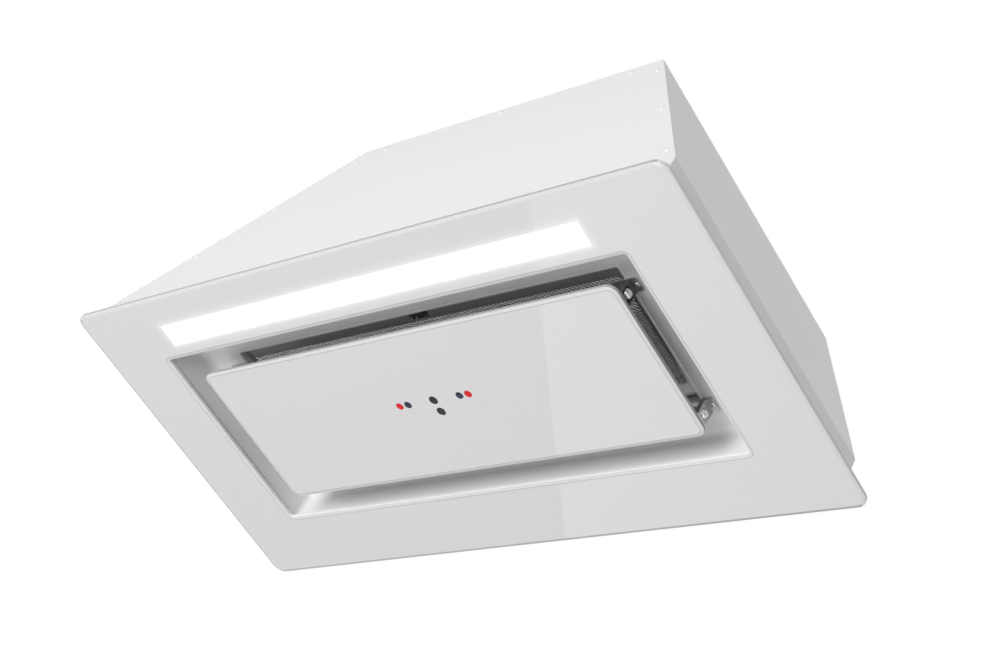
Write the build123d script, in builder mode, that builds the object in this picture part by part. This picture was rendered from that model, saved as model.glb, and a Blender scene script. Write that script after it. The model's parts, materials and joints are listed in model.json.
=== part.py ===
from build123d import *
import os
from math import cos, radians, sin

# Built-in range hood: a white glass frame with a light strip and a hinged glass suction panel, and
# above it a painted steel casing with the grease filter, the blower and the electric parts.
# Millimetres. +X is right, -Y is the front, where the light strip is, and +Z is up. The origin is
# at the middle of the lower face of the glass.

# Glass frame
glass_width = 800
glass_depth = 400
glass_thickness = 5
glass_corner_radius = 13
glass_bevel = 1.5
opening_side_margin = 87
opening_end_margin = 80
opening_corner_radius = 4

# Light strip
light_side_margin = 113.5
light_depth = 28
light_from_front = 36
light_corner_radius = 2
light_flange = 4
light_flange_thickness = 1.5
light_flange_gap = 0.5
light_slot_gap = 0.3
light_channel_sheet = 1
light_channel_height = 16
light_tab_length = 12
light_board_thickness = 1.6
light_board_margin = 6
chip_size = 5
chip_height = 1
chip_spacing = 40

# Base frame, the steel sheet behind the glass
base_sheet = 1

# Suction recess, with the throat that holds the filter
recess_sheet = 1
recess_side_back = 1
recess_front_back = 5
recess_corner_radius = 6
recess_ceiling = 44
recess_flange = 12
recess_front_flange = 4
throat_side_margin = 53
throat_end_margin = 37.5
throat_height = 29

# Grease filter
filter_gap = 1.5
filter_rise = 8
filter_thickness = 10
filter_side_border = 8
filter_front_border = 17
filter_wall = 1
mesh_thickness = 2
mesh_pitch_x = 16
mesh_pitch_y = 14
mesh_bar = 2.4
tab_width = 20
tab_thickness = 2
tab_spread = 320
tab_reach = 4
tab_slot_gap = 0.5

# Filter latch
latch_width = 40
latch_depth = 6
latch_travel = 5
latch_pocket_gap = 0.3
latch_front_wall = 2
tongue_width = 16
tongue_thickness = 2
tongue_reach = 2.5
grip_width = 22
grip_depth = 3
grip_drop = 3
spring_radius = 2.2
spring_wire = 0.6
spring_turns = 6
spring_gap = 0.05

# Suction panel
panel_side_gap = 32
panel_end_gap = 28.5
panel_corner_radius = 11
panel_tray_side_inset = 19
panel_tray_front_inset = 10
panel_tray_height = 12
panel_tray_sheet = 0.8

# Gesture sensor in the panel
sensor_row_y = -4.6
sensor_lone_y = 10.6
blue_from_middle = 35.5
red_from_middle = 47
indicator_diameter = 8.5
eye_diameter = 10
lens_gap = 0.1
lens_lip = 1.2
lens_lip_thickness = 1
carrier_margin = 12
carrier_height = 3
carrier_wall = 1.5
sensor_board_thickness = 1.6

# Ball pins that carry the panel, and their sockets
pivot_from_side = 17
rear_pivot_from_edge = 3.5
front_pivot_from_edge = 30.5
pivot_z = 30
ball_radius = 6
socket_gap = 0.08
catch_gap = 0.6
socket_thickness = 6
socket_half_depth = 8
socket_below_pivot = 8
socket_foot_length = 8
socket_foot_thickness = 2
catch_plate_length = 34
catch_plate_shift = 6
catch_plate_corner = 4
catch_screw_right = 7
catch_screw_left = 15
pin_radius = 2
pin_head_radius = 3.5
pin_head_thickness = 1.5
pin_reach = 8
pin_bracket_sheet = 1.5
pin_bracket_half_width = 6
pin_bracket_foot = 18
rear_bracket_setback = 14
small_screw_radius = 1.5
small_head_radius = 2.8
small_head_height = 1.6

# Casing
casing_sheet = 1
casing_side_inset = 7
casing_front_inset = 14.5
casing_rear_inset = 36
casing_height = 225.5
casing_fold_height = 26.5
left_slope_run = 289
right_slope_run = 101
casing_flange = 14
rivet_radius = 1.6
rivet_head_radius = 3
rivet_head_height = 0.9
rivet_tail_radius = 2.4
rivet_tail_length = 2
rivet_head_taper = 30
rivet_edge = 7.5
rivet_foot_end = 22
rivet_slope_end = 13
rivet_top_end = 31
hanging_hole_radius = 3.3
hanging_from_side = 28
hanging_from_end = 39.75
base_screw_spacing = 180

# Blower scroll and impeller
impeller_radius = 55
blade_depth = 9
blade_thickness = 1
blade_count = 30
blade_rotation = 38
blade_row_width = 56
impeller_disc = 2
impeller_ring = 2
hub_radius = 12
hub_length = 24
scroll_wall = 2
scroll_side_gap = 3
scroll_tongue_gap = 5
scroll_growth = 18
scroll_tongue_angle = 60
scroll_points = 11
scroll_inlet_radius = 46
scroll_lip = 4
scroll_seam = 4
scroll_axis_below_top = 70
scroll_outlet_flange = 8
blower_gasket_thickness = 3

# Motor
motor_radius = 39
motor_length = 54
motor_wall = 1.5
motor_standoff = 16
shaft_radius = 4
shaft_running_gap = 0.05
shaft_tail = 6
bearing_radius = 11
bearing_width = 7
bearing_seat_wall = 2
rotor_radius = 21
rotor_length = 28
air_gap = 0.6
bracket_sheet = 2
bracket_arm_width = 14
bracket_reach = 56
bracket_ring_radius = 30
grommet_radius = 7
grommet_bore_radius = 2.2

# Air outlet
duct_radius = 75
duct_gap = 0.3
collar_wall = 2
collar_height = 36
collar_flange = 16
collar_flange_thickness = 2.5
collar_screw_count = 4
collar_screw_angle = 45
flap_height = 16
flap_thickness = 1.5
flap_gap = 0.8
flap_pin_radius = 1.5
flap_pin_gap = 0.06
knuckle_wall = 1.6
knuckle_length = 22
knuckle_gap = 0.4
flap_seat_width = 2.5
flap_seat_height = 1.5
flap_seat_gap = 0.3

# Electric parts
box_from_slope = 44
box_z = 112
box_width = 120
box_height = 80
box_depth = 36
box_wall = 2
box_corner_radius = 4
lid_thickness = 2
board_thickness = 1.6
board_margin = 5
board_standoff = 6
relay_length = 20
relay_width = 16
relay_height = 15
relay_spacing = 26
capacitor_radius = 15
capacitor_length = 52
capacitor_from_box = 30
driver_width = 110
driver_height = 30
driver_depth = 22
driver_gap = 24
gland_radius = 10
gland_bore_radius = 4.2
gland_collar_radius = 13
gland_collar_height = 9
gland_below = 12
gland_taper = 12
gland_nut_thickness = 4
cable_hole_radius = 5

# One overrun for every cut
cut_over = 1

# Levels and places that follow
opening_width = glass_width - 2 * opening_side_margin
opening_depth = glass_depth - 2 * opening_end_margin
light_width = glass_width - 2 * light_side_margin
throat_width = opening_width - 2 * throat_side_margin
throat_depth = opening_depth - 2 * throat_end_margin
panel_width = opening_width - 2 * panel_side_gap
panel_depth = opening_depth - 2 * panel_end_gap
pivot_x = panel_width / 2 - pivot_from_side
rear_pivot_y = panel_depth / 2 - rear_pivot_from_edge
front_pivot_y = front_pivot_from_edge - panel_depth / 2
pin_bracket_x = pivot_x - pin_reach

base_z = glass_thickness
casing_foot_z = base_z + base_sheet
casing_half_width = glass_width / 2 - casing_side_inset
casing_front_y = casing_front_inset - glass_depth / 2
casing_rear_y = glass_depth / 2 - casing_rear_inset
casing_middle_y = (casing_front_y + casing_rear_y) / 2
front_inner_y = casing_front_y + casing_sheet
rear_inner_y = casing_rear_y - casing_sheet
top_left_x = left_slope_run - casing_half_width
top_right_x = casing_half_width - right_slope_run
top_middle_x = (top_left_x + top_right_x) / 2
ceiling_z = casing_height - casing_sheet
hanging_spacing_x = top_right_x - top_left_x - 2 * hanging_from_side
hanging_spacing_y = casing_rear_y - casing_front_y - 2 * hanging_from_end
box_x = top_left_x + box_from_slope

light_y = light_from_front + light_depth / 2 - glass_depth / 2
light_channel_inner_width = light_width + 2 * (light_flange + light_flange_gap)
light_channel_inner_depth = light_depth + 2 * (light_flange + light_flange_gap)
light_roof_z = casing_foot_z + light_channel_height - light_channel_sheet
light_board_z = light_roof_z - light_board_thickness

recess_width = opening_width + 2 * recess_side_back
recess_depth = opening_depth + 2 * recess_front_back
recess_side_length = recess_depth - 2 * recess_corner_radius
recess_foot_z = casing_foot_z
recess_top_z = recess_ceiling + recess_sheet
throat_top_z = recess_top_z + throat_height

filter_width = throat_width - 2 * filter_gap
filter_depth = throat_depth - 2 * filter_gap
filter_z = recess_ceiling + filter_rise
filter_middle_z = filter_z + filter_thickness / 2
latch_front_y = latch_front_wall + latch_pocket_gap - filter_depth / 2
latch_pocket_depth = latch_depth + latch_travel + 2 * latch_pocket_gap
latch_rear_y = latch_front_y + latch_depth

panel_tray_width = panel_width - 2 * panel_tray_side_inset
panel_tray_depth = panel_depth - 2 * panel_tray_front_inset
panel_tray_top_z = glass_thickness + panel_tray_height
sensor_middle_y = (sensor_row_y + sensor_lone_y) / 2

blower_x = top_middle_x
scroll_axis_z = casing_height - scroll_axis_below_top
scroll_start_radius = impeller_radius + scroll_tongue_gap
scroll_rear_radius = scroll_start_radius + scroll_growth
scroll_half_width = blade_row_width + impeller_ring + impeller_disc / 2 + scroll_side_gap
tongue_y = scroll_start_radius * cos(radians(scroll_tongue_angle))
tongue_z = scroll_start_radius * sin(radians(scroll_tongue_angle))
throat_middle_y = (tongue_y + scroll_rear_radius) / 2
outlet_depth = scroll_rear_radius - tongue_y
outlet_y = casing_middle_y
scroll_axis_y = outlet_y - throat_middle_y
scroll_top_z = ceiling_z - blower_gasket_thickness

collar_outer_radius = duct_radius - duct_gap
collar_inner_radius = collar_outer_radius - collar_wall
collar_flange_radius = collar_outer_radius + collar_flange
collar_screw_radius = collar_outer_radius + collar_flange / 2
flap_z = casing_height + flap_height
flap_radius = collar_inner_radius - flap_gap
knuckle_radius = flap_pin_radius + knuckle_wall


def upright(y):
    # The plane at y that faces the front, with X to the right and Z up.
    return Plane.XZ.offset(-y)


def sideways(x):
    # The plane at x that faces right, with Y to the right and Z up.
    return Plane.YZ.offset(x)


def inset_chain(chain, distance):
    # An open chain of corners, moved in to the right of its direction, with mitred corners.
    moved = []
    for index, corner in enumerate(chain):
        last = max(index, 1)
        following = min(index, len(chain) - 2)
        before = (chain[last] - chain[last - 1]).normalized()
        after = (chain[following + 1] - chain[following]).normalized()
        normal_before = Vector(before.Y, -before.X)
        normal_after = Vector(after.Y, -after.X)
        share = 1 / (1 + normal_before.dot(normal_after))
        moved.append(corner + (normal_before + normal_after) * (distance * share))
    return moved


def spiral(extra):
    # Points along the scroll's spiral, from the tongue round to the rear, moved out by extra.
    points = []
    turn = 360 - scroll_tongue_angle
    for step in range(scroll_points):
        share = step / (scroll_points - 1)
        angle = radians(scroll_tongue_angle + turn * share)
        radius = scroll_start_radius + scroll_growth * share + extra
        points.append((scroll_axis_y + radius * cos(angle), scroll_axis_z + radius * sin(angle)))
    return points


# The casing's outline seen from the front: up the left side, over the top and down the right side.
casing_outline = [
    Vector(-casing_half_width, casing_foot_z),
    Vector(-casing_half_width, casing_fold_height),
    Vector(top_left_x, casing_height),
    Vector(top_right_x, casing_height),
    Vector(casing_half_width, casing_fold_height),
    Vector(casing_half_width, casing_foot_z),
]
casing_inner = inset_chain(casing_outline, casing_sheet)
casing_flange_line = inset_chain(casing_outline, casing_sheet + casing_flange)
rivet_line = inset_chain(casing_outline, rivet_edge)


def along(start, start_end, end, end_end, count):
    # Evenly spaced points between two corners, each end's own distance in from them.
    direction = (end - start).normalized()
    first = start + direction * start_end
    last = end - direction * end_end
    step = (last - first) * (1 / (count - 1))
    return [first + step * number for number in range(count)]


rivet_places = along(rivet_line[1], rivet_foot_end, rivet_line[2], rivet_slope_end, 4)
rivet_places += along(rivet_line[2], rivet_top_end, rivet_line[3], rivet_top_end, 3)
rivet_places += along(rivet_line[3], rivet_slope_end, rivet_line[4], rivet_foot_end, 3)
rivet_points = [(place.X, place.Y) for place in rivet_places]


# Glass frame, back-painted white, with a bevelled edge round the outside and the opening
with BuildPart() as glass_frame:
    with BuildSketch():
        RectangleRounded(glass_width, glass_depth, glass_corner_radius)
        RectangleRounded(opening_width, opening_depth, opening_corner_radius, mode=Mode.SUBTRACT)
    extrude(amount=glass_thickness)
    chamfer(glass_frame.faces().sort_by(Axis.Z)[0].edges(), glass_bevel)
    with BuildSketch():
        with Locations((0, light_y)):
            RectangleRounded(
                light_width + 2 * light_slot_gap,
                light_depth + 2 * light_slot_gap,
                light_corner_radius + light_slot_gap,
            )
    extrude(amount=glass_thickness, mode=Mode.SUBTRACT)
glass_frame.part.label = "glass_frame"
export_step(glass_frame.part, "parts/glass_frame.step")

# Opal light diffuser, flush in the glass, with a flange behind it
with BuildPart() as light_diffuser:
    with BuildSketch():
        with Locations((0, light_y)):
            RectangleRounded(light_width, light_depth, light_corner_radius)
    extrude(amount=glass_thickness)
    with BuildSketch(Plane.XY.offset(glass_thickness)):
        with Locations((0, light_y)):
            Rectangle(light_width + 2 * light_flange, light_depth + 2 * light_flange)
    extrude(amount=light_flange_thickness)
light_diffuser.part.label = "light_diffuser"
export_step(light_diffuser.part, "parts/light_diffuser.step")

# Base frame: the flat sheet bonded behind the glass, open at the recess and at the light
with BuildPart() as base_frame:
    with BuildSketch(Plane.XY.offset(base_z)):
        with Locations((0, casing_middle_y)):
            Rectangle(2 * casing_half_width, casing_rear_y - casing_front_y)
        RectangleRounded(
            recess_width,
            recess_depth,
            recess_corner_radius,
            mode=Mode.SUBTRACT,
        )
        with Locations((0, light_y)):
            Rectangle(light_channel_inner_width, light_channel_inner_depth, mode=Mode.SUBTRACT)
    extrude(amount=base_sheet)
base_frame.part.label = "base_frame"
export_step(base_frame.part, "parts/base_frame.step")

# Light channel: a trough over the diffuser, with a tab at each end
with BuildPart() as light_channel:
    with BuildSketch(Plane.XY.offset(casing_foot_z)):
        with Locations((0, light_y)):
            Rectangle(
                light_channel_inner_width + 2 * light_channel_sheet,
                light_channel_inner_depth + 2 * light_channel_sheet,
            )
    extrude(amount=light_channel_height)
    with BuildSketch(Plane.XY.offset(casing_foot_z)):
        with Locations((0, light_y)):
            Rectangle(
                light_channel_inner_width + 2 * (light_channel_sheet + light_tab_length),
                light_depth,
            )
    extrude(amount=light_channel_sheet)
    with BuildSketch(Plane.XY.offset(casing_foot_z)):
        with Locations((0, light_y)):
            Rectangle(light_channel_inner_width, light_channel_inner_depth)
    extrude(amount=light_channel_height - light_channel_sheet, mode=Mode.SUBTRACT)
light_channel.part.label = "light_channel"
export_step(light_channel.part, "parts/light_channel.step")

# Light board under the channel's roof, and its row of light chips
with BuildPart() as light_board:
    with BuildSketch(Plane.XY.offset(light_board_z)):
        with Locations((0, light_y)):
            Rectangle(light_width - 2 * light_board_margin, light_depth - 2 * light_board_margin)
    extrude(amount=light_board_thickness)
light_board.part.label = "light_board"
export_step(light_board.part, "parts/light_board.step")

chip_count = int((light_width - 2 * light_board_margin) / chip_spacing)
with BuildPart() as light_chips:
    with BuildSketch(Plane.XY.offset(light_board_z - chip_height)):
        with Locations((0, light_y)):
            with GridLocations(chip_spacing, 0, chip_count, 1):
                Rectangle(chip_size, chip_size)
    extrude(amount=chip_height)
light_chips.part.label = "light_chips"
export_step(light_chips.part, "parts/light_chips.step")


def recess_band(middle_mode):
    # The band round the opening, with a flange along its foot, without or with its middle only.
    with BuildPart() as band:
        with BuildSketch(Plane.XY.offset(recess_foot_z)):
            RectangleRounded(
                recess_width + 2 * recess_sheet,
                recess_depth + 2 * recess_sheet,
                recess_corner_radius + recess_sheet,
            )
        extrude(amount=recess_ceiling - recess_foot_z)
        with BuildSketch(Plane.XY.offset(recess_foot_z)):
            with Locations((0, (recess_flange - recess_front_flange) / 2)):
                Rectangle(
                    recess_width + 2 * (recess_sheet + recess_flange),
                    recess_depth + 2 * recess_sheet + recess_flange + recess_front_flange,
                )
        extrude(amount=recess_sheet)
        with BuildSketch(Plane.XY.offset(recess_foot_z)):
            RectangleRounded(recess_width, recess_depth, recess_corner_radius)
        extrude(amount=recess_ceiling - recess_foot_z, mode=Mode.SUBTRACT)
        with BuildSketch(Plane.XY.offset(recess_foot_z)):
            Rectangle(recess_width + 2 * (recess_sheet + recess_flange), recess_side_length)
        extrude(amount=recess_ceiling - recess_foot_z, mode=middle_mode)
    return band


# Recess ends, the front and rear walls with the rounded corners, and the straight walls between
recess_ends = recess_band(Mode.SUBTRACT)
recess_ends.part.label = "recess_ends"
export_step(recess_ends.part, "parts/recess_ends.step")

recess_sides = recess_band(Mode.INTERSECT)
recess_sides.part.label = "recess_sides"
export_step(recess_sides.part, "parts/recess_sides.step")

# Recess ceiling: a plate welded on the walls, with the throat's upstand and the filter's slots
slot_gap_width = tab_width + 2 * tab_slot_gap
tab_z = filter_middle_z
with BuildPart() as recess_plate:
    with BuildSketch(Plane.XY.offset(recess_ceiling)):
        RectangleRounded(
            recess_width + 2 * recess_sheet,
            recess_depth + 2 * recess_sheet,
            recess_corner_radius + recess_sheet,
        )
    extrude(amount=recess_sheet)
    with BuildSketch(Plane.XY.offset(recess_top_z)):
        Rectangle(throat_width + 2 * recess_sheet, throat_depth + 2 * recess_sheet)
    extrude(amount=throat_height)
    with BuildSketch(Plane.XY.offset(recess_ceiling)):
        Rectangle(throat_width, throat_depth)
    extrude(amount=throat_top_z - recess_ceiling, mode=Mode.SUBTRACT)
    with BuildSketch(upright(throat_depth / 2 + recess_sheet + cut_over)):
        with Locations((0, tab_z)):
            with GridLocations(tab_spread, 0, 2, 1):
                Rectangle(slot_gap_width, tab_thickness + tab_slot_gap)
    extrude(amount=recess_sheet + 2 * cut_over, mode=Mode.SUBTRACT)
    with BuildSketch(upright(cut_over - throat_depth / 2)):
        with Locations((0, filter_middle_z)):
            Rectangle(tongue_width + 2 * tab_slot_gap, tongue_thickness + tab_slot_gap)
    extrude(amount=recess_sheet + 2 * cut_over, mode=Mode.SUBTRACT)
recess_plate.part.label = "recess_plate"
export_step(recess_plate.part, "parts/recess_plate.step")

# Grease filter cassette: a shallow frame with a lip above and below the mesh, tabs at the rear and
# a pocket for the latch at the front
with BuildPart() as filter_frame:
    with BuildSketch(Plane.XY.offset(filter_z)):
        Rectangle(filter_width, filter_depth)
        Rectangle(
            filter_width - 2 * filter_side_border,
            filter_depth - 2 * filter_front_border,
            mode=Mode.SUBTRACT,
        )
    extrude(amount=filter_thickness)
    with BuildSketch(Plane.XY.offset(filter_z + filter_wall)):
        Rectangle(
            filter_width - 2 * (filter_side_border - mesh_bar),
            filter_depth - 2 * (filter_front_border - mesh_bar),
        )
    extrude(amount=filter_thickness - 2 * filter_wall, mode=Mode.SUBTRACT)
    with BuildSketch(Plane.XY.offset(tab_z - tab_thickness / 2)):
        with Locations((0, filter_depth / 2)):
            with GridLocations(tab_spread, 0, 2, 1):
                Rectangle(
                    tab_width,
                    filter_gap + recess_sheet + tab_reach,
                    align=(Align.CENTER, Align.MIN),
                )
    extrude(amount=tab_thickness)
    with BuildSketch(Plane.XY.offset(filter_z + filter_wall)):
        with Locations((0, latch_front_y - latch_pocket_gap)):
            Rectangle(
                latch_width + 2 * latch_pocket_gap,
                latch_pocket_depth,
                align=(Align.CENTER, Align.MIN),
            )
    extrude(amount=filter_thickness - 2 * filter_wall, mode=Mode.SUBTRACT)
    with BuildSketch(Plane.XY.offset(filter_z)):
        with Locations((0, latch_front_y - latch_pocket_gap)):
            Rectangle(
                grip_width + 2 * latch_pocket_gap,
                grip_depth + latch_travel + 2 * latch_pocket_gap,
                align=(Align.CENTER, Align.MIN),
            )
    extrude(amount=filter_wall, mode=Mode.SUBTRACT)
    with BuildSketch(upright(latch_front_y)):
        with Locations((0, filter_middle_z)):
            Rectangle(tongue_width + 2 * tab_slot_gap, tongue_thickness + 2 * tab_slot_gap)
    extrude(amount=latch_front_wall + 2 * latch_pocket_gap + cut_over, mode=Mode.SUBTRACT)
filter_frame.part.label = "filter_frame"
export_step(filter_frame.part, "parts/filter_frame.step")

# Two layers of grease mesh, held in the cassette's lips
mesh_width = filter_width - 2 * filter_side_border
mesh_depth = filter_depth - 2 * filter_front_border
mesh_columns = int(mesh_width / mesh_pitch_x)
mesh_rows = int(mesh_depth / mesh_pitch_y)
mesh_levels = [
    filter_z + filter_wall,
    filter_z + filter_thickness - filter_wall - mesh_thickness,
]
with BuildPart() as filter_mesh:
    for mesh_level in mesh_levels:
        with BuildSketch(Plane.XY.offset(mesh_level)):
            Rectangle(mesh_width + 2 * mesh_bar, mesh_depth + 2 * mesh_bar)
            with GridLocations(mesh_pitch_x, mesh_pitch_y, mesh_columns, mesh_rows):
                Rectangle(mesh_pitch_x - mesh_bar, mesh_pitch_y - mesh_bar, mode=Mode.SUBTRACT)
        extrude(amount=mesh_thickness)
filter_mesh.part.label = "filter_mesh"
export_step(filter_mesh.part, "parts/filter_mesh.step")

# Filter latch: a slider whose tongue stands through the throat's front wall
latch_z = filter_z + filter_wall + latch_pocket_gap
latch_height = filter_thickness - 2 * (filter_wall + latch_pocket_gap)
tongue_length = latch_front_wall + latch_pocket_gap + filter_gap + recess_sheet + tongue_reach
with BuildPart() as filter_latch:
    with BuildSketch(Plane.XY.offset(latch_z)):
        with Locations((0, latch_front_y)):
            Rectangle(
                latch_width,
                latch_depth,
                align=(Align.CENTER, Align.MIN),
            )
    extrude(amount=latch_height)
    with BuildSketch(Plane.XY.offset(filter_middle_z - tongue_thickness / 2)):
        with Locations((0, latch_front_y)):
            Rectangle(tongue_width, tongue_length, align=(Align.CENTER, Align.MAX))
    extrude(amount=tongue_thickness)
    with BuildSketch(Plane.XY.offset(latch_z)):
        with Locations((0, latch_front_y)):
            Rectangle(grip_width, grip_depth, align=(Align.CENTER, Align.MIN))
    extrude(amount=filter_z - grip_drop - latch_z)
filter_latch.part.label = "filter_latch"
export_step(filter_latch.part, "parts/filter_latch.step")

# Latch springs: two coils between the latch and the rear of its pocket
spring_length = latch_travel + latch_pocket_gap - 2 * spring_gap
spring_pitch = (spring_length - spring_wire) / spring_turns
spring_start_y = latch_rear_y + spring_gap + spring_wire / 2
spring_spread = latch_width / 2
with BuildPart() as latch_springs:
    for spring_x in (-spring_spread / 2, spring_spread / 2):
        with BuildLine():
            coil = Helix(
                spring_pitch,
                spring_length - spring_wire,
                spring_radius,
                center=(spring_x, spring_start_y, filter_middle_z),
                direction=(0, 1, 0),
            )
        with BuildSketch(Plane(origin=coil @ 0, z_dir=coil % 0)):
            Circle(spring_wire / 2)
        sweep(path=coil, is_frenet=True)
latch_springs.part.label = "latch_springs"
export_step(latch_springs.part, "parts/latch_springs.step")

# Suction panel glass, with holes for the sensor's eyes and indicators
eye_places = [(0, sensor_row_y), (0, sensor_lone_y)]
blue_places = [(-blue_from_middle, sensor_row_y), (blue_from_middle, sensor_row_y)]
red_places = [(-red_from_middle, sensor_row_y), (red_from_middle, sensor_row_y)]
with BuildPart() as panel_glass:
    with BuildSketch():
        RectangleRounded(panel_width, panel_depth, panel_corner_radius)
    extrude(amount=glass_thickness)
    chamfer(panel_glass.faces().sort_by(Axis.Z)[0].edges(), glass_bevel)
    with BuildSketch():
        with Locations(*eye_places):
            Circle(eye_diameter / 2 + lens_gap)
        with Locations(*blue_places, *red_places):
            Circle(indicator_diameter / 2 + lens_gap)
    extrude(amount=glass_thickness, mode=Mode.SUBTRACT)
panel_glass.part.label = "panel_glass"
export_step(panel_glass.part, "parts/panel_glass.step")

# Sensor eyes and indicator lenses: flush discs with a lip behind the glass
with BuildPart() as sensor_eyes:
    with BuildSketch():
        with Locations(*eye_places):
            Circle(eye_diameter / 2)
    extrude(amount=glass_thickness)
    with BuildSketch(Plane.XY.offset(glass_thickness)):
        with Locations(*eye_places):
            Circle(eye_diameter / 2 + lens_lip)
    extrude(amount=lens_lip_thickness)
sensor_eyes.part.label = "sensor_eyes"
export_step(sensor_eyes.part, "parts/sensor_eyes.step")

with BuildPart() as blue_indicators:
    with BuildSketch():
        with Locations(*blue_places):
            Circle(indicator_diameter / 2)
    extrude(amount=glass_thickness)
    with BuildSketch(Plane.XY.offset(glass_thickness)):
        with Locations(*blue_places):
            Circle(indicator_diameter / 2 + lens_lip)
    extrude(amount=lens_lip_thickness)
blue_indicators.part.label = "blue_indicators"
export_step(blue_indicators.part, "parts/blue_indicators.step")

with BuildPart() as red_indicators:
    with BuildSketch():
        with Locations(*red_places):
            Circle(indicator_diameter / 2)
    extrude(amount=glass_thickness)
    with BuildSketch(Plane.XY.offset(glass_thickness)):
        with Locations(*red_places):
            Circle(indicator_diameter / 2 + lens_lip)
    extrude(amount=lens_lip_thickness)
red_indicators.part.label = "red_indicators"
export_step(red_indicators.part, "parts/red_indicators.step")

# Sensor carrier: a plastic rim bonded behind the panel, with the sensor board on it
carrier_width = 2 * (red_from_middle + carrier_margin)
carrier_depth = sensor_lone_y - sensor_row_y + 2 * carrier_margin
with BuildPart() as sensor_carrier:
    with BuildSketch(Plane.XY.offset(glass_thickness)):
        with Locations((0, sensor_middle_y)):
            Rectangle(carrier_width, carrier_depth)
            Rectangle(
                carrier_width - 2 * carrier_wall,
                carrier_depth - 2 * carrier_wall,
                mode=Mode.SUBTRACT,
            )
    extrude(amount=carrier_height)
sensor_carrier.part.label = "sensor_carrier"
export_step(sensor_carrier.part, "parts/sensor_carrier.step")

with BuildPart() as sensor_board:
    with BuildSketch(Plane.XY.offset(glass_thickness + carrier_height)):
        with Locations((0, sensor_middle_y)):
            Rectangle(carrier_width, carrier_depth)
    extrude(amount=sensor_board_thickness)
sensor_board.part.label = "sensor_board"
export_step(sensor_board.part, "parts/sensor_board.step")

# Panel tray: the folded steel cover that stiffens the panel's glass and carries the ball pins
with BuildPart() as panel_tray:
    with BuildSketch(Plane.XY.offset(glass_thickness)):
        Rectangle(panel_tray_width, panel_tray_depth)
    extrude(amount=panel_tray_height)
    with BuildSketch(Plane.XY.offset(glass_thickness)):
        Rectangle(
            panel_tray_width - 2 * panel_tray_sheet,
            panel_tray_depth - 2 * panel_tray_sheet,
        )
    extrude(amount=panel_tray_height - panel_tray_sheet, mode=Mode.SUBTRACT)
panel_tray.part.label = "panel_tray"
export_step(panel_tray.part, "parts/panel_tray.step")

# Pin brackets: an angle at each corner of the tray, with the pin's hole in its upright leg
pin_bracket_top_z = pivot_z + pin_bracket_half_width
bracket_places = [
    (rear_pivot_y, rear_pivot_y - rear_bracket_setback),
    (front_pivot_y, front_pivot_y),
]
with BuildPart() as pin_brackets:
    for pivot_y, bracket_foot_y in bracket_places:
        with BuildSketch(Plane.XY.offset(panel_tray_top_z)):
            with Locations((pin_bracket_x + pin_bracket_sheet, bracket_foot_y)):
                Rectangle(
                    pin_bracket_foot,
                    2 * pin_bracket_half_width,
                    align=(Align.MAX, Align.CENTER),
                )
        extrude(amount=pin_bracket_sheet)
        with BuildSketch(sideways(pin_bracket_x)):
            with BuildLine():
                Polyline(
                    (bracket_foot_y - pin_bracket_half_width, panel_tray_top_z),
                    (bracket_foot_y + pin_bracket_half_width, panel_tray_top_z),
                    (pivot_y + pin_bracket_half_width, pivot_z - pin_bracket_half_width),
                    (pivot_y + pin_bracket_half_width, pin_bracket_top_z),
                    (pivot_y - pin_bracket_half_width, pin_bracket_top_z),
                    close=True,
                )
            make_face()
        extrude(amount=pin_bracket_sheet)
        with BuildSketch(sideways(pin_bracket_x)):
            with Locations((pivot_y, pivot_z)):
                Circle(pin_radius)
        extrude(amount=pin_bracket_sheet, mode=Mode.SUBTRACT)
    mirror(about=Plane.YZ)
pin_brackets.part.label = "pin_brackets"
export_step(pin_brackets.part, "parts/pin_brackets.step")


def ball_pin_pair(y):
    # A pair of ball pins at y: a head inside the bracket, a neck through it and the ball outside.
    with BuildPart() as pair:
        with BuildSketch(sideways(pin_bracket_x - pin_head_thickness)):
            with Locations((y, pivot_z)):
                Circle(pin_head_radius)
        extrude(amount=pin_head_thickness)
        with BuildSketch(sideways(pin_bracket_x)):
            with Locations((y, pivot_z)):
                Circle(pin_radius)
        extrude(amount=pivot_x - pin_bracket_x)
        with Locations((pivot_x, y, pivot_z)):
            Sphere(ball_radius)
        mirror(about=Plane.YZ)
    return pair


# Rear ball pins turn in the hinge sockets, and front ball pins clip into the catches
rear_ball_pins = ball_pin_pair(rear_pivot_y)
rear_ball_pins.part.label = "rear_ball_pins"
export_step(rear_ball_pins.part, "parts/rear_ball_pins.step")

front_ball_pins = ball_pin_pair(front_pivot_y)
front_ball_pins.part.label = "front_ball_pins"
export_step(front_ball_pins.part, "parts/front_ball_pins.step")

# Hinge sockets: plates that hang from the recess ceiling, each closed round its ball
socket_x = pivot_x - socket_thickness / 2
socket_bottom_z = pivot_z - socket_below_pivot
socket_drop = recess_ceiling - socket_bottom_z
with BuildPart() as hinge_sockets:
    with BuildSketch(sideways(socket_x)):
        with Locations((rear_pivot_y, socket_bottom_z)):
            Rectangle(2 * socket_half_depth, socket_drop, align=(Align.CENTER, Align.MIN))
    extrude(amount=socket_thickness)
    with BuildSketch(Plane.XY.offset(recess_ceiling)):
        with Locations((socket_x, rear_pivot_y)):
            Rectangle(
                socket_thickness + socket_foot_length,
                2 * socket_half_depth,
                align=(Align.MIN, Align.CENTER),
            )
    extrude(amount=-socket_foot_thickness)
    with Locations((pivot_x, rear_pivot_y, pivot_z)):
        Sphere(ball_radius + socket_gap, rotation=(0, 90, 0), mode=Mode.SUBTRACT)
    mirror(about=Plane.YZ)
hinge_sockets.part.label = "hinge_sockets"
export_step(hinge_sockets.part, "parts/hinge_sockets.step")

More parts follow.
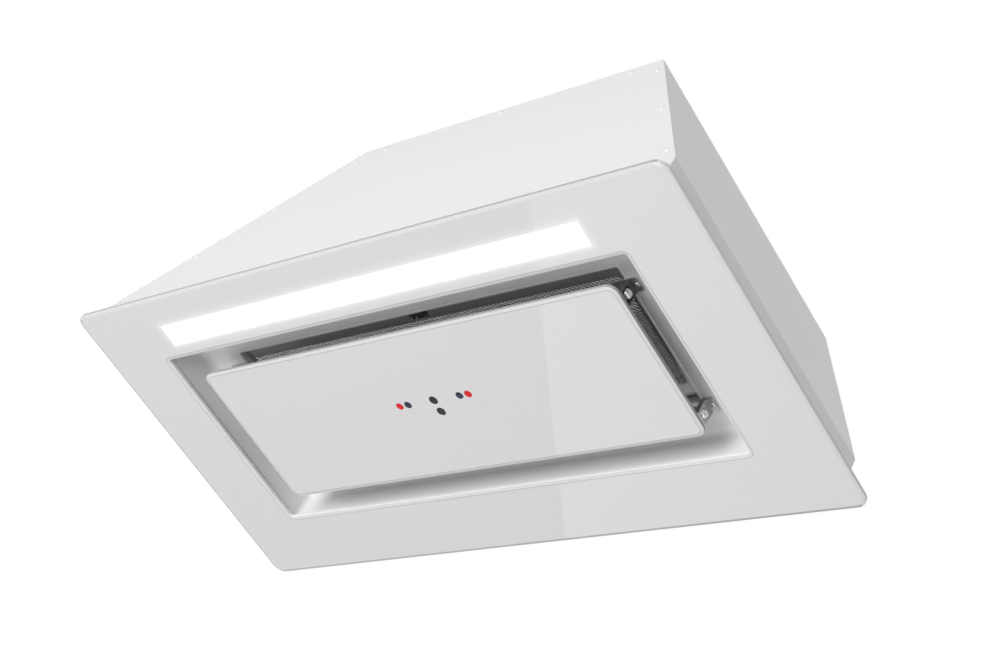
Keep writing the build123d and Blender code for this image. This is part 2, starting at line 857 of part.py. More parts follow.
# Catch plates: a foot on the recess ceiling for each front catch, both of the same hand
catch_top_z = recess_ceiling - socket_foot_thickness
with BuildPart() as catch_plates:
    with BuildSketch(Plane.XY.offset(catch_top_z)):
        with Locations((-catch_plate_shift, front_pivot_y)):
            with GridLocations(2 * pivot_x, 0, 2, 1):
                RectangleRounded(catch_plate_length, 2 * socket_half_depth, catch_plate_corner)
    extrude(amount=socket_foot_thickness)
catch_plates.part.label = "catch_plates"
export_step(catch_plates.part, "parts/catch_plates.step")

# Front catches: plastic blocks under the plates, open below so that the front balls snap in and out
with BuildPart() as front_catches:
    with BuildSketch(sideways(socket_x)):
        with Locations((front_pivot_y, catch_top_z)):
            Rectangle(
                2 * socket_half_depth,
                catch_top_z - socket_bottom_z,
                align=(Align.CENTER, Align.MAX),
            )
        with Locations((front_pivot_y, pivot_z)):
            Circle(ball_radius + catch_gap, mode=Mode.SUBTRACT)
            Rectangle(
                2 * (ball_radius + catch_gap),
                socket_below_pivot + cut_over,
                align=(Align.CENTER, Align.MAX),
                mode=Mode.SUBTRACT,
            )
    extrude(amount=socket_thickness)
    mirror(about=Plane.YZ)
front_catches.part.label = "front_catches"
export_step(front_catches.part, "parts/front_catches.step")

# Screws through the sockets' feet and the catch plates into the recess ceiling
socket_screw_x = pivot_x + socket_thickness / 2 + socket_foot_length / 2
socket_screw_z = recess_ceiling - socket_foot_thickness
with BuildPart() as socket_screws:
    with BuildSketch(Plane.XY.offset(socket_screw_z)):
        with Locations(
            (-socket_screw_x, rear_pivot_y),
            (socket_screw_x, rear_pivot_y),
            (-pivot_x - catch_screw_left, front_pivot_y),
            (pivot_x + catch_screw_right, front_pivot_y),
        ):
            Circle(small_head_radius)
    extrude(amount=-small_head_height)
socket_screws.part.label = "socket_screws"
export_step(socket_screws.part, "parts/socket_screws.step")

# Casing: front and rear plates, with a folded foot along the base frame
plate_foot_length = 2 * (casing_half_width - casing_sheet - casing_flange - casing_sheet)
with BuildPart() as casing_front:
    with BuildSketch(upright(front_inner_y)):
        with BuildLine():
            Polyline(*casing_outline, close=True)
        make_face()
        with Locations(*rivet_points):
            Circle(rivet_radius, mode=Mode.SUBTRACT)
    extrude(amount=casing_sheet)
    with BuildSketch(Plane.XY.offset(casing_foot_z)):
        with Locations((0, front_inner_y)):
            Rectangle(plate_foot_length, casing_flange, align=(Align.CENTER, Align.MIN))
    extrude(amount=casing_sheet)
casing_front.part.label = "casing_front"
export_step(casing_front.part, "parts/casing_front.step")

with BuildPart() as casing_rear:
    with BuildSketch(upright(casing_rear_y)):
        with BuildLine():
            Polyline(*casing_outline, close=True)
        make_face()
        with Locations(*rivet_points):
            Circle(rivet_radius, mode=Mode.SUBTRACT)
    extrude(amount=casing_sheet)
    with BuildSketch(Plane.XY.offset(casing_foot_z)):
        with Locations((0, rear_inner_y)):
            Rectangle(plate_foot_length, casing_flange, align=(Align.CENTER, Align.MAX))
    extrude(amount=casing_sheet)
casing_rear.part.label = "casing_rear"
export_step(casing_rear.part, "parts/casing_rear.step")


def folded_wall(first, last):
    # A wall of the casing between two corners of its outline, with a flange at the front and rear.
    wall_line = casing_outline[first:last] + casing_inner[first:last][::-1]
    flange_line = casing_inner[first:last] + casing_flange_line[first:last][::-1]
    with BuildPart() as wall:
        with BuildSketch(upright(rear_inner_y)):
            with BuildLine():
                Polyline(*wall_line, close=True)
            make_face()
        extrude(amount=rear_inner_y - front_inner_y)
        for flange_y in (rear_inner_y, front_inner_y + casing_sheet):
            with BuildSketch(upright(flange_y)):
                with BuildLine():
                    Polyline(*flange_line, close=True)
                make_face()
            extrude(amount=casing_sheet)
            with BuildSketch(upright(flange_y)):
                with Locations(*rivet_points):
                    Circle(rivet_radius)
            extrude(amount=casing_sheet, mode=Mode.SUBTRACT)
    return wall


side_foot_depth = rear_inner_y - front_inner_y - 2 * casing_sheet
left_wall = folded_wall(0, 3)
with BuildPart() as casing_left:
    add(left_wall.part)
    with BuildSketch(Plane.XY.offset(casing_foot_z)):
        with Locations((casing_sheet - casing_half_width, casing_middle_y)):
            Rectangle(casing_flange, side_foot_depth, align=(Align.MIN, Align.CENTER))
    extrude(amount=casing_sheet)
casing_left.part.label = "casing_left"
export_step(casing_left.part, "parts/casing_left.step")

right_wall = folded_wall(3, 6)
with BuildPart() as casing_right:
    add(right_wall.part)
    with BuildSketch(Plane.XY.offset(casing_foot_z)):
        with Locations((casing_half_width - casing_sheet, casing_middle_y)):
            Rectangle(casing_flange, side_foot_depth, align=(Align.MAX, Align.CENTER))
    extrude(amount=casing_sheet)
casing_right.part.label = "casing_right"
export_step(casing_right.part, "parts/casing_right.step")

# Casing top, with the outlet, the cable's hole and four holes for hanging the hood
gland_x = box_x
gland_y = rear_inner_y - box_depth / 2
top_wall = folded_wall(2, 4)
with BuildPart() as casing_top:
    add(top_wall.part)
    with BuildSketch(Plane.XY.offset(ceiling_z)):
        with Locations((blower_x, outlet_y)):
            Rectangle(2 * scroll_half_width, outlet_depth)
        with Locations((top_middle_x, casing_middle_y)):
            with GridLocations(hanging_spacing_x, hanging_spacing_y, 2, 2):
                Circle(hanging_hole_radius)
        with Locations((gland_x, gland_y)):
            Circle(gland_radius)
    extrude(amount=casing_sheet, mode=Mode.SUBTRACT)
casing_top.part.label = "casing_top"
export_step(casing_top.part, "parts/casing_top.step")

# Blind rivets through the front and rear plates and the flanges behind them
with BuildPart() as casing_rivets:
    with BuildSketch(upright(casing_front_y)):
        with Locations(*rivet_points):
            Circle(rivet_head_radius)
    extrude(amount=rivet_head_height, taper=rivet_head_taper)
    with BuildSketch(upright(casing_front_y)):
        with Locations(*rivet_points):
            Circle(rivet_radius)
    extrude(amount=-2 * casing_sheet)
    with BuildSketch(upright(front_inner_y + casing_sheet)):
        with Locations(*rivet_points):
            Circle(rivet_tail_radius)
    extrude(amount=-rivet_tail_length)
    with BuildSketch(upright(casing_rear_y)):
        with Locations(*rivet_points):
            Circle(rivet_head_radius)
    extrude(amount=-rivet_head_height, taper=rivet_head_taper)
    with BuildSketch(upright(casing_rear_y)):
        with Locations(*rivet_points):
            Circle(rivet_radius)
    extrude(amount=2 * casing_sheet)
    with BuildSketch(upright(rear_inner_y - casing_sheet)):
        with Locations(*rivet_points):
            Circle(rivet_tail_radius)
    extrude(amount=rivet_tail_length)
casing_rivets.part.label = "casing_rivets"
export_step(casing_rivets.part, "parts/casing_rivets.step")

# Screw heads along the casing's feet
foot_screw_z = casing_foot_z + casing_sheet
foot_screw_y = (casing_rear_y - casing_front_y) / 2 - casing_sheet - casing_flange / 2
with BuildPart() as base_screws:
    with BuildSketch(Plane.XY.offset(foot_screw_z)):
        with Locations((0, casing_middle_y)):
            with GridLocations(base_screw_spacing, 2 * foot_screw_y, 4, 2):
                Circle(small_head_radius)
            with GridLocations(
                2 * (casing_half_width - casing_sheet - casing_flange / 2),
                base_screw_spacing,
                2,
                2,
            ):
                Circle(small_head_radius)
    extrude(amount=small_head_height)
base_screws.part.label = "base_screws"
export_step(base_screws.part, "parts/base_screws.step")

# Blower scroll: two moulded halves that meet in the impeller's middle plane
scroll_inlet_x = blower_x + scroll_half_width


def scroll_outline(extra):
    # The scroll's air space seen from the side, grown by extra: the spiral and its upward throat.
    points = spiral(extra)
    with BuildSketch(sideways(blower_x), mode=Mode.PRIVATE) as outline:
        with BuildLine():
            Spline(*points)
            Polyline(
                points[-1],
                (scroll_axis_y + scroll_rear_radius + extra, scroll_top_z),
                (scroll_axis_y + tongue_y - extra, scroll_top_z),
                points[0],
            )
        make_face()
    return outline.sketch


scroll_air = scroll_outline(0)
scroll_skin = scroll_outline(scroll_wall)
scroll_seam_shape = scroll_outline(scroll_wall + scroll_seam)

with BuildPart() as scroll_right:
    extrude(scroll_skin, amount=scroll_half_width + scroll_wall)
    extrude(scroll_seam_shape, amount=scroll_wall)
    extrude(scroll_air, amount=scroll_half_width, mode=Mode.SUBTRACT)
    with BuildSketch(sideways(scroll_inlet_x)):
        with Locations((scroll_axis_y, scroll_axis_z)):
            Circle(scroll_inlet_radius)
    extrude(amount=scroll_wall, mode=Mode.SUBTRACT)
    with BuildSketch(sideways(scroll_inlet_x + scroll_wall)):
        with Locations((scroll_axis_y, scroll_axis_z)):
            Circle(scroll_inlet_radius + scroll_wall)
            Circle(scroll_inlet_radius, mode=Mode.SUBTRACT)
    extrude(amount=scroll_lip)
    with BuildSketch(Plane.XY.offset(scroll_top_z)):
        with Locations((blower_x, outlet_y)):
            Rectangle(
                scroll_half_width + scroll_wall + scroll_outlet_flange,
                outlet_depth + 2 * (scroll_wall + scroll_outlet_flange),
                align=(Align.MIN, Align.CENTER),
            )
            Rectangle(
                scroll_half_width,
                outlet_depth,
                align=(Align.MIN, Align.CENTER),
                mode=Mode.SUBTRACT,
            )
    extrude(amount=-scroll_wall)
scroll_right.part.label = "scroll_right"
export_step(scroll_right.part, "parts/scroll_right.step")

with BuildPart() as scroll_left:
    mirror(scroll_right.part, about=Plane.YZ.offset(blower_x))
scroll_left.part.label = "scroll_left"
export_step(scroll_left.part, "parts/scroll_left.step")

# Gasket between the scroll's outlet and the casing top
with BuildPart() as outlet_gasket:
    with BuildSketch(Plane.XY.offset(scroll_top_z)):
        with Locations((blower_x, outlet_y)):
            Rectangle(
                2 * (scroll_half_width + scroll_wall + scroll_outlet_flange),
                outlet_depth + 2 * (scroll_wall + scroll_outlet_flange),
            )
            Rectangle(2 * scroll_half_width, outlet_depth, mode=Mode.SUBTRACT)
    extrude(amount=blower_gasket_thickness)
outlet_gasket.part.label = "outlet_gasket"
export_step(outlet_gasket.part, "parts/outlet_gasket.step")

# Screws up through the scroll's outlet flange
scroll_screw_x = scroll_half_width + scroll_wall + scroll_outlet_flange / 2
scroll_screw_y = outlet_depth / 2 + scroll_wall + scroll_outlet_flange / 2
with BuildPart() as scroll_screws:
    with BuildSketch(Plane.XY.offset(scroll_top_z - scroll_wall)):
        with Locations((blower_x, outlet_y)):
            with GridLocations(2 * scroll_screw_x, 2 * scroll_screw_y, 2, 2):
                Circle(small_head_radius)
    extrude(amount=-small_head_height)
scroll_screws.part.label = "scroll_screws"
export_step(scroll_screws.part, "parts/scroll_screws.step")

# Impeller: two rows of curved blades on a middle disc, with a ring round each open end
blade_ring_radius = impeller_radius - blade_depth / 2
with BuildPart() as impeller:
    with BuildSketch(sideways(blower_x - impeller_disc / 2)):
        with Locations((scroll_axis_y, scroll_axis_z)):
            Circle(impeller_radius)
    extrude(amount=impeller_disc)
    with BuildSketch(sideways(blower_x - impeller_disc / 2 - blade_row_width)):
        with Locations((scroll_axis_y, scroll_axis_z)):
            with PolarLocations(blade_ring_radius, blade_count):
                Rectangle(blade_depth, blade_thickness, rotation=blade_rotation)
    extrude(amount=2 * blade_row_width + impeller_disc)
    with BuildSketch(
        sideways(blower_x - impeller_disc / 2 - blade_row_width - impeller_ring),
        sideways(blower_x + impeller_disc / 2 + blade_row_width),
    ):
        with Locations((scroll_axis_y, scroll_axis_z)):
            Circle(impeller_radius)
            Circle(impeller_radius - blade_depth, mode=Mode.SUBTRACT)
    extrude(amount=impeller_ring)
    with BuildSketch(sideways(blower_x - hub_length / 2)):
        with Locations((scroll_axis_y, scroll_axis_z)):
            Circle(hub_radius)
    extrude(amount=hub_length)
    with BuildSketch(sideways(blower_x - hub_length / 2)):
        with Locations((scroll_axis_y, scroll_axis_z)):
            Circle(shaft_radius)
    extrude(amount=hub_length, mode=Mode.SUBTRACT)
impeller.part.label = "impeller"
export_step(impeller.part, "parts/impeller.step")

# Motor: a cup on the scroll's left side, closed by a shield on the bracket's side
scroll_left_face_x = blower_x - scroll_half_width - scroll_wall
motor_right_x = scroll_left_face_x - motor_standoff
motor_left_x = motor_right_x - motor_length
motor_middle_x = (motor_left_x + motor_right_x) / 2
seat_radius = bearing_radius + bearing_seat_wall
with BuildPart() as motor_case:
    with BuildSketch(sideways(motor_left_x)):
        with Locations((scroll_axis_y, scroll_axis_z)):
            Circle(motor_radius)
    extrude(amount=motor_length - motor_wall)
    with BuildSketch(sideways(motor_left_x + motor_wall)):
        with Locations((scroll_axis_y, scroll_axis_z)):
            Circle(motor_radius - motor_wall)
            Circle(seat_radius, mode=Mode.SUBTRACT)
    extrude(amount=motor_length - 2 * motor_wall, mode=Mode.SUBTRACT)
    with BuildSketch(sideways(motor_left_x + motor_wall)):
        with Locations((scroll_axis_y, scroll_axis_z)):
            Circle(bearing_radius)
    extrude(amount=motor_length, mode=Mode.SUBTRACT)
    with BuildSketch(sideways(motor_left_x + motor_wall + bearing_width)):
        with Locations((scroll_axis_y, scroll_axis_z)):
            Circle(motor_radius - motor_wall)
    extrude(amount=motor_length, mode=Mode.SUBTRACT)
motor_case.part.label = "motor_case"
export_step(motor_case.part, "parts/motor_case.step")

with BuildPart() as motor_shield:
    with BuildSketch(sideways(motor_right_x - motor_wall)):
        with Locations((scroll_axis_y, scroll_axis_z)):
            Circle(motor_radius)
            Circle(shaft_radius + bearing_seat_wall, mode=Mode.SUBTRACT)
    extrude(amount=motor_wall)
    with BuildSketch(sideways(motor_right_x - motor_wall - bearing_width)):
        with Locations((scroll_axis_y, scroll_axis_z)):
            Circle(seat_radius)
            Circle(bearing_radius, mode=Mode.SUBTRACT)
    extrude(amount=bearing_width)
motor_shield.part.label = "motor_shield"
export_step(motor_shield.part, "parts/motor_shield.step")

with BuildPart() as motor_bearings:
    with BuildSketch(
        sideways(motor_left_x + motor_wall),
        sideways(motor_right_x - motor_wall - bearing_width),
    ):
        with Locations((scroll_axis_y, scroll_axis_z)):
            Circle(bearing_radius)
            Circle(shaft_radius + shaft_running_gap, mode=Mode.SUBTRACT)
    extrude(amount=bearing_width)
motor_bearings.part.label = "motor_bearings"
export_step(motor_bearings.part, "parts/motor_bearings.step")

with BuildPart() as motor_stator:
    with BuildSketch(sideways(motor_middle_x - rotor_length / 2)):
        with Locations((scroll_axis_y, scroll_axis_z)):
            Circle(motor_radius - motor_wall)
            Circle(rotor_radius + air_gap, mode=Mode.SUBTRACT)
    extrude(amount=rotor_length)
motor_stator.part.label = "motor_stator"
export_step(motor_stator.part, "parts/motor_stator.step")

with BuildPart() as motor_rotor:
    with BuildSketch(sideways(motor_middle_x - rotor_length / 2)):
        with Locations((scroll_axis_y, scroll_axis_z)):
            Circle(rotor_radius)
            Circle(shaft_radius, mode=Mode.SUBTRACT)
    extrude(amount=rotor_length)
motor_rotor.part.label = "motor_rotor"
export_step(motor_rotor.part, "parts/motor_rotor.step")

shaft_left_x = motor_left_x + motor_wall + shaft_running_gap
with BuildPart() as motor_shaft:
    with BuildSketch(sideways(shaft_left_x)):
        with Locations((scroll_axis_y, scroll_axis_z)):
            Circle(shaft_radius)
    extrude(amount=blower_x + hub_length / 2 + shaft_tail - shaft_left_x)
motor_shaft.part.label = "motor_shaft"
export_step(motor_shaft.part, "parts/motor_shaft.step")

# Motor bracket: a ring on the shield with three arms, each on a rubber grommet and a screw
bracket_x = motor_right_x
grommet_x = bracket_x + bracket_sheet
grommet_length = scroll_left_face_x - grommet_x
with BuildPart() as motor_bracket:
    with BuildSketch(sideways(bracket_x)):
        with Locations((scroll_axis_y, scroll_axis_z)):
            Circle(bracket_ring_radius)
            with PolarLocations(0, 3):
                Rectangle(bracket_reach + grommet_radius, bracket_arm_width, align=(Align.MIN, Align.CENTER))
            Circle(shaft_radius + bearing_seat_wall, mode=Mode.SUBTRACT)
            with PolarLocations(bracket_reach, 3):
                Circle(grommet_bore_radius, mode=Mode.SUBTRACT)
    extrude(amount=bracket_sheet)
motor_bracket.part.label = "motor_bracket"
export_step(motor_bracket.part, "parts/motor_bracket.step")

with BuildPart() as motor_grommets:
    with BuildSketch(sideways(grommet_x)):
        with Locations((scroll_axis_y, scroll_axis_z)):
            with PolarLocations(bracket_reach, 3):
                Circle(grommet_radius)
                Circle(grommet_bore_radius, mode=Mode.SUBTRACT)
    extrude(amount=grommet_length)
motor_grommets.part.label = "motor_grommets"
export_step(motor_grommets.part, "parts/motor_grommets.step")

with BuildPart() as motor_screws:
    with BuildSketch(sideways(bracket_x)):
        with Locations((scroll_axis_y, scroll_axis_z)):
            with PolarLocations(bracket_reach, 3):
                Circle(grommet_bore_radius)
    extrude(amount=bracket_sheet + grommet_length)
    with BuildSketch(sideways(bracket_x)):
        with Locations((scroll_axis_y, scroll_axis_z)):
            with PolarLocations(bracket_reach, 3):
                Circle(small_head_radius + small_screw_radius)
    extrude(amount=-small_head_height)
motor_screws.part.label = "motor_screws"
export_step(motor_screws.part, "parts/motor_screws.step")

# Outlet collar on the casing top, with a seat for the flaps
with BuildPart() as outlet_collar:
    with BuildSketch(Plane.XY.offset(casing_height)):
        with Locations((blower_x, outlet_y)):
            Circle(collar_flange_radius)
    extrude(amount=collar_flange_thickness)
    with BuildSketch(Plane.XY.offset(casing_height)):
        with Locations((blower_x, outlet_y)):
            Circle(collar_outer_radius)
    extrude(amount=collar_height)
    with BuildSketch(Plane.XY.offset(casing_height)):
        with Locations((blower_x, outlet_y)):
            Circle(collar_inner_radius)
    extrude(amount=collar_height, mode=Mode.SUBTRACT)
    with BuildSketch(Plane.XY.offset(flap_z - flap_thickness / 2 - flap_seat_gap)):
        with Locations((blower_x, outlet_y)):
            Circle(collar_inner_radius)
            Circle(collar_inner_radius - flap_seat_width, mode=Mode.SUBTRACT)
    extrude(amount=-flap_seat_height)
    with BuildSketch(sideways(blower_x - collar_outer_radius)):
        with Locations((outlet_y, flap_z)):
            Circle(flap_pin_radius)
    extrude(amount=2 * collar_outer_radius, mode=Mode.SUBTRACT)
outlet_collar.part.label = "outlet_collar"
export_step(outlet_collar.part, "parts/outlet_collar.step")

with BuildPart() as collar_screws:
    with BuildSketch(Plane.XY.offset(casing_height + collar_flange_thickness)):
        with Locations((blower_x, outlet_y)):
            with PolarLocations(collar_screw_radius, collar_screw_count, collar_screw_angle):
                Circle(small_head_radius)
    extrude(amount=small_head_height)
collar_screws.part.label = "collar_screws"
export_step(collar_screws.part, "parts/collar_screws.step")

# Non-return flaps: half discs that hang on one pin across the collar, with alternate knuckles
with BuildPart() as flap_pin:
    with BuildSketch(sideways(blower_x - collar_outer_radius)):
        with Locations((outlet_y, flap_z)):
            Circle(flap_pin_radius)
    extrude(amount=2 * collar_outer_radius)
flap_pin.part.label = "flap_pin"
export_step(flap_pin.part, "parts/flap_pin.step")

knuckle_step = knuckle_length + knuckle_gap
flap_edge = knuckle_radius + knuckle_gap


def flap_half(side, knuckle_offsets):
    # One flap: side is -1 at the front and 1 at the rear, with its knuckles along the pin.
    flap_align = Align.MIN if side > 0 else Align.MAX
    with BuildPart() as flap:
        with BuildSketch(Plane.XY.offset(flap_z - flap_thickness / 2)):
            with Locations((blower_x, outlet_y)):
                Circle(flap_radius)
            with Locations((blower_x, outlet_y + side * flap_edge)):
                Rectangle(
                    2 * flap_radius,
                    flap_radius,
                    align=(Align.CENTER, flap_align),
                    mode=Mode.INTERSECT,
                )
            with Locations((blower_x, outlet_y)):
                with Locations(*[(offset, 0) for offset in knuckle_offsets]):
                    Rectangle(knuckle_length, 2 * flap_edge, align=(Align.CENTER, flap_align))
        extrude(amount=flap_thickness)
        for offset in knuckle_offsets:
            with BuildSketch(sideways(blower_x + offset - knuckle_length / 2)):
                with Locations((outlet_y, flap_z)):
                    Circle(knuckle_radius)
            extrude(amount=knuckle_length)
        with BuildSketch(sideways(blower_x - collar_outer_radius)):
            with Locations((outlet_y, flap_z)):
                Circle(flap_pin_radius + flap_pin_gap)
        extrude(amount=2 * collar_outer_radius, mode=Mode.SUBTRACT)
    return flap


front_flap = flap_half(-1, (-2 * knuckle_step, 0, 2 * knuckle_step))
front_flap.part.label = "front_flap"
export_step(front_flap.part, "parts/front_flap.step")

rear_flap = flap_half(1, (-knuckle_step, knuckle_step))
rear_flap.part.label = "rear_flap"
export_step(rear_flap.part, "parts/rear_flap.step")

# Control box on the rear plate, with its board, relays and lid
box_front_y = rear_inner_y - box_depth
box_plane = upright(rear_inner_y)
with BuildPart() as control_box:
    with BuildSketch(box_plane):
        with Locations((box_x, box_z)):
            RectangleRounded(box_width, box_height, box_corner_radius)
    extrude(amount=box_depth - lid_thickness)
    with BuildSketch(upright(rear_inner_y - box_wall)):
        with Locations((box_x, box_z)):
            RectangleRounded(
                box_width - 2 * box_wall,
                box_height - 2 * box_wall,
                box_corner_radius - box_wall,
            )
    extrude(amount=box_depth, mode=Mode.SUBTRACT)
    with BuildSketch(Plane.XY.offset(box_z)):
        with Locations((gland_x, gland_y)):
            Circle(cable_hole_radius)
    extrude(amount=box_height, mode=Mode.SUBTRACT)
control_box.part.label = "control_box"
export_step(control_box.part, "parts/control_box.step")

with BuildPart() as control_lid:
    with BuildSketch(upright(box_front_y + lid_thickness)):
        with Locations((box_x, box_z)):
            RectangleRounded(box_width, box_height, box_corner_radius)
    extrude(amount=lid_thickness)
control_lid.part.label = "control_lid"
export_step(control_lid.part, "parts/control_lid.step")

board_y = rear_inner_y - box_wall - board_standoff
with BuildPart() as control_board:
    with BuildSketch(upright(board_y)):
        with Locations((box_x, box_z)):
            Rectangle(
                box_width - 2 * (box_wall + board_margin),
                box_height - 2 * (box_wall + board_margin),
            )
    extrude(amount=board_thickness)
    with BuildSketch(upright(board_y)):
        with Locations((box_x, box_z)):
            with GridLocations(
                box_width - 4 * (box_wall + board_margin),
                box_height - 4 * (box_wall + board_margin),
                2,
                2,
            ):
                Circle(small_head_radius)
    extrude(amount=-board_standoff)
    with BuildSketch(upright(board_y - board_thickness)):
        with Locations((box_x, box_z - relay_length)):
            with GridLocations(relay_spacing, 0, 3, 1):
                Rectangle(relay_width, relay_length)
    extrude(amount=relay_height)
control_board.part.label = "control_board"
export_step(control_board.part, "parts/control_board.step")

# Motor capacitor and light driver beside the control box, both on the rear plate
capacitor_x = box_x + box_width / 2 + capacitor_from_box
with BuildPart() as capacitor:
    with BuildSketch(Plane.XY.offset(box_z - capacitor_length / 2)):
        with Locations((capacitor_x, rear_inner_y - capacitor_radius)):
            Circle(capacitor_radius)
    extrude(amount=capacitor_length)
capacitor.part.label = "capacitor"
export_step(capacitor.part, "parts/capacitor.step")

driver_x = capacitor_x + capacitor_radius + driver_gap + driver_width / 2
with BuildPart() as light_driver:
    with BuildSketch(box_plane):
        with Locations((driver_x, box_z)):
            RectangleRounded(driver_width, driver_height, box_corner_radius)
    extrude(amount=driver_depth)
light_driver.part.label = "light_driver"
export_step(light_driver.part, "parts/light_driver.step")

# Cable gland in the casing top, with its nut below and a bore for the mains cable
with BuildPart() as cable_gland:
    with BuildSketch(Plane.XY.offset(casing_height)):
        with Locations((gland_x, gland_y)):
            RegularPolygon(gland_collar_radius, 6)
    extrude(amount=gland_collar_height)
    with BuildSketch(Plane.XY.offset(casing_height)):
        with Locations((gland_x, gland_y)):
            Circle(gland_radius)
    extrude(amount=-gland_below)
    with BuildSketch(Plane.XY.offset(casing_height + gland_collar_height)):
        with Locations((gland_x, gland_y)):
            Circle(gland_radius)
    extrude(amount=gland_collar_height, taper=gland_taper)
    with BuildSketch(Plane.XY.offset(casing_height - gland_below)):
        with Locations((gland_x, gland_y)):
            Circle(gland_bore_radius)
    extrude(amount=gland_below + 2 * gland_collar_height, mode=Mode.SUBTRACT)
cable_gland.part.label = "cable_gland"
export_step(cable_gland.part, "parts/cable_gland.step")

with BuildPart() as gland_nut:
    with BuildSketch(Plane.XY.offset(ceiling_z)):
        with Locations((gland_x, gland_y)):
            RegularPolygon(gland_collar_radius, 6)
            Circle(gland_radius, mode=Mode.SUBTRACT)
    extrude(amount=-gland_nut_thickness)
gland_nut.part.label = "gland_nut"
export_step(gland_nut.part, "parts/gland_nut.step")
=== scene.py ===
import json
import math

import bmesh
import bpy
from mathutils import Matrix, Vector
from mathutils.geometry import tessellate_polygon

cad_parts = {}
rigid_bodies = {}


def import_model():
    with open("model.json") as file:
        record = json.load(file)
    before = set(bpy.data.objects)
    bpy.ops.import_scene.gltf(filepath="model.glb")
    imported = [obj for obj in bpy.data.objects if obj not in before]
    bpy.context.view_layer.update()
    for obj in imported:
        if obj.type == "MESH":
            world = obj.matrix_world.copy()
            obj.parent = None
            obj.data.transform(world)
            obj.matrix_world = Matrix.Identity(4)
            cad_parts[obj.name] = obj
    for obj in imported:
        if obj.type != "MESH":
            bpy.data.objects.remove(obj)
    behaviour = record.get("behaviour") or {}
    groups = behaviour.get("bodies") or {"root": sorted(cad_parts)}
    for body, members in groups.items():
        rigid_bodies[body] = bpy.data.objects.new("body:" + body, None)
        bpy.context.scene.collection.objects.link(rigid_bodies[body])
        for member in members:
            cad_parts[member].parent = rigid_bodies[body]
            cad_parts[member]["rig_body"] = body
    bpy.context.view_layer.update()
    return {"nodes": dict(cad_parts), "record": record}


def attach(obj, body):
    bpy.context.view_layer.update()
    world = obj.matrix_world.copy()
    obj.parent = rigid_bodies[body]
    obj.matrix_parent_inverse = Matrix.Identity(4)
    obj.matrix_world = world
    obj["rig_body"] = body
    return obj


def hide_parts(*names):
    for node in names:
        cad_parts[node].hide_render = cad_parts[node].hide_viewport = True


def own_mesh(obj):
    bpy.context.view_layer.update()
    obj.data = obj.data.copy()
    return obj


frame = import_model()
nodes = frame["nodes"]
mm = 0.001
print("hood: CAD frame loaded with", len(nodes), "nodes")


def addObject(name, data):
    thing = bpy.data.objects.new(name, data)
    bpy.context.scene.collection.objects.link(thing)
    return thing


# Camera at the photograph's place
cameraView = {
    "place": (1.25145, -0.79051, -1.13402),
    "turn": (135.50716734, -24.75654966, 34.28805771),
    "lens": 67.2387,
    "sensor": 36.0,
}
cameraData = bpy.data.cameras.new("photoCamera")
cameraData.lens = cameraView["lens"]
cameraData.sensor_width = cameraView["sensor"]
camera = addObject("photoCamera", cameraData)
camera.location = cameraView["place"]
camera.rotation_euler = [math.radians(angle) for angle in cameraView["turn"]]
bpy.context.scene.camera = camera
bpy.context.scene.view_settings.view_transform = "Standard"


# Node helpers
def addNode(tree, kind, feeds=None, **choices):
    node = tree.nodes.new(kind)
    for key, value in choices.items():
        setattr(node, key, value)
    for socket, value in (feeds or {}).items():
        if isinstance(value, bpy.types.NodeSocket):
            tree.links.new(value, node.inputs[socket])
        else:
            node.inputs[socket].default_value = value
    return node


def firstOut(tree, kind, feeds=None, **choices):
    return addNode(tree, kind, feeds, **choices).outputs[0]


def maths(tree, operation, *values):
    return firstOut(tree, "ShaderNodeMath", dict(enumerate(values)), operation=operation)


def newSocket(tree, label, direction, kind):
    return tree.interface.new_socket(name=label, in_out=direction, socket_type="NodeSocket" + kind)


def groupEnds(tree):
    return addNode(tree, "NodeGroupInput").outputs, addNode(tree, "NodeGroupOutput").inputs


def newPattern(name, takes, gives):
    # A shared shader group: takes are (name, socket kind, value), gives are (name, socket kind)
    group = bpy.data.node_groups.new(name, "ShaderNodeTree")
    for label, kind, value in takes:
        socket = newSocket(group, label, "INPUT", kind)
        if value is not None:
            socket.default_value = value
    for label, kind in gives:
        newSocket(group, label, "OUTPUT", kind)
    return group, *groupEnds(group)


def giveOut(group, gives, **values):
    for label, value in values.items():
        group.links.new(value, gives[label])


def tinted(tree, colour, amount):
    # The colour made a little lighter or darker by a number around 1
    return firstOut(tree, "ShaderNodeVectorMath", {0: colour, "Scale": amount},
                    operation="SCALE")


def around(tree, value, spread, middle):
    # A noise value of 0 to 1 turned into middle plus or minus half the spread
    centred = maths(tree, "SUBTRACT", value, 0.5)
    return maths(tree, "MULTIPLY_ADD", centred, spread, middle)


surfaceGives = [("Colour", "Color"), ("Roughness", "Float"), ("Height", "Float")]

# Fine sprayed or moulded grain with a slow drift of tone
sprayedGrain, takes, gives = newPattern("sprayedGrain", [
    ("Vector", "Vector", None),
    ("Colour", "Color", (0.8, 0.8, 0.8, 1.0)),
    ("Specks per Metre", "Float", 900.0),
    ("Speck Tint", "Float", 0.02),
    ("Drifts per Metre", "Float", 6.0),
    ("Drift Tint", "Float", 0.03),
    ("Roughness", "Float", 0.4),
    ("Roughness Spread", "Float", 0.1),
], surfaceGives)
specks = firstOut(sprayedGrain, "ShaderNodeTexNoise",
                  {"Vector": takes["Vector"], "Scale": takes["Specks per Metre"], "Detail": 2.0})
drifts = firstOut(sprayedGrain, "ShaderNodeTexNoise",
                  {"Vector": takes["Vector"], "Scale": takes["Drifts per Metre"], "Detail": 3.0})
speckTone = around(sprayedGrain, specks, takes["Speck Tint"], 0.5)
driftTone = around(sprayedGrain, drifts, takes["Drift Tint"], 0.5)
tone = maths(sprayedGrain, "ADD", speckTone, driftTone)
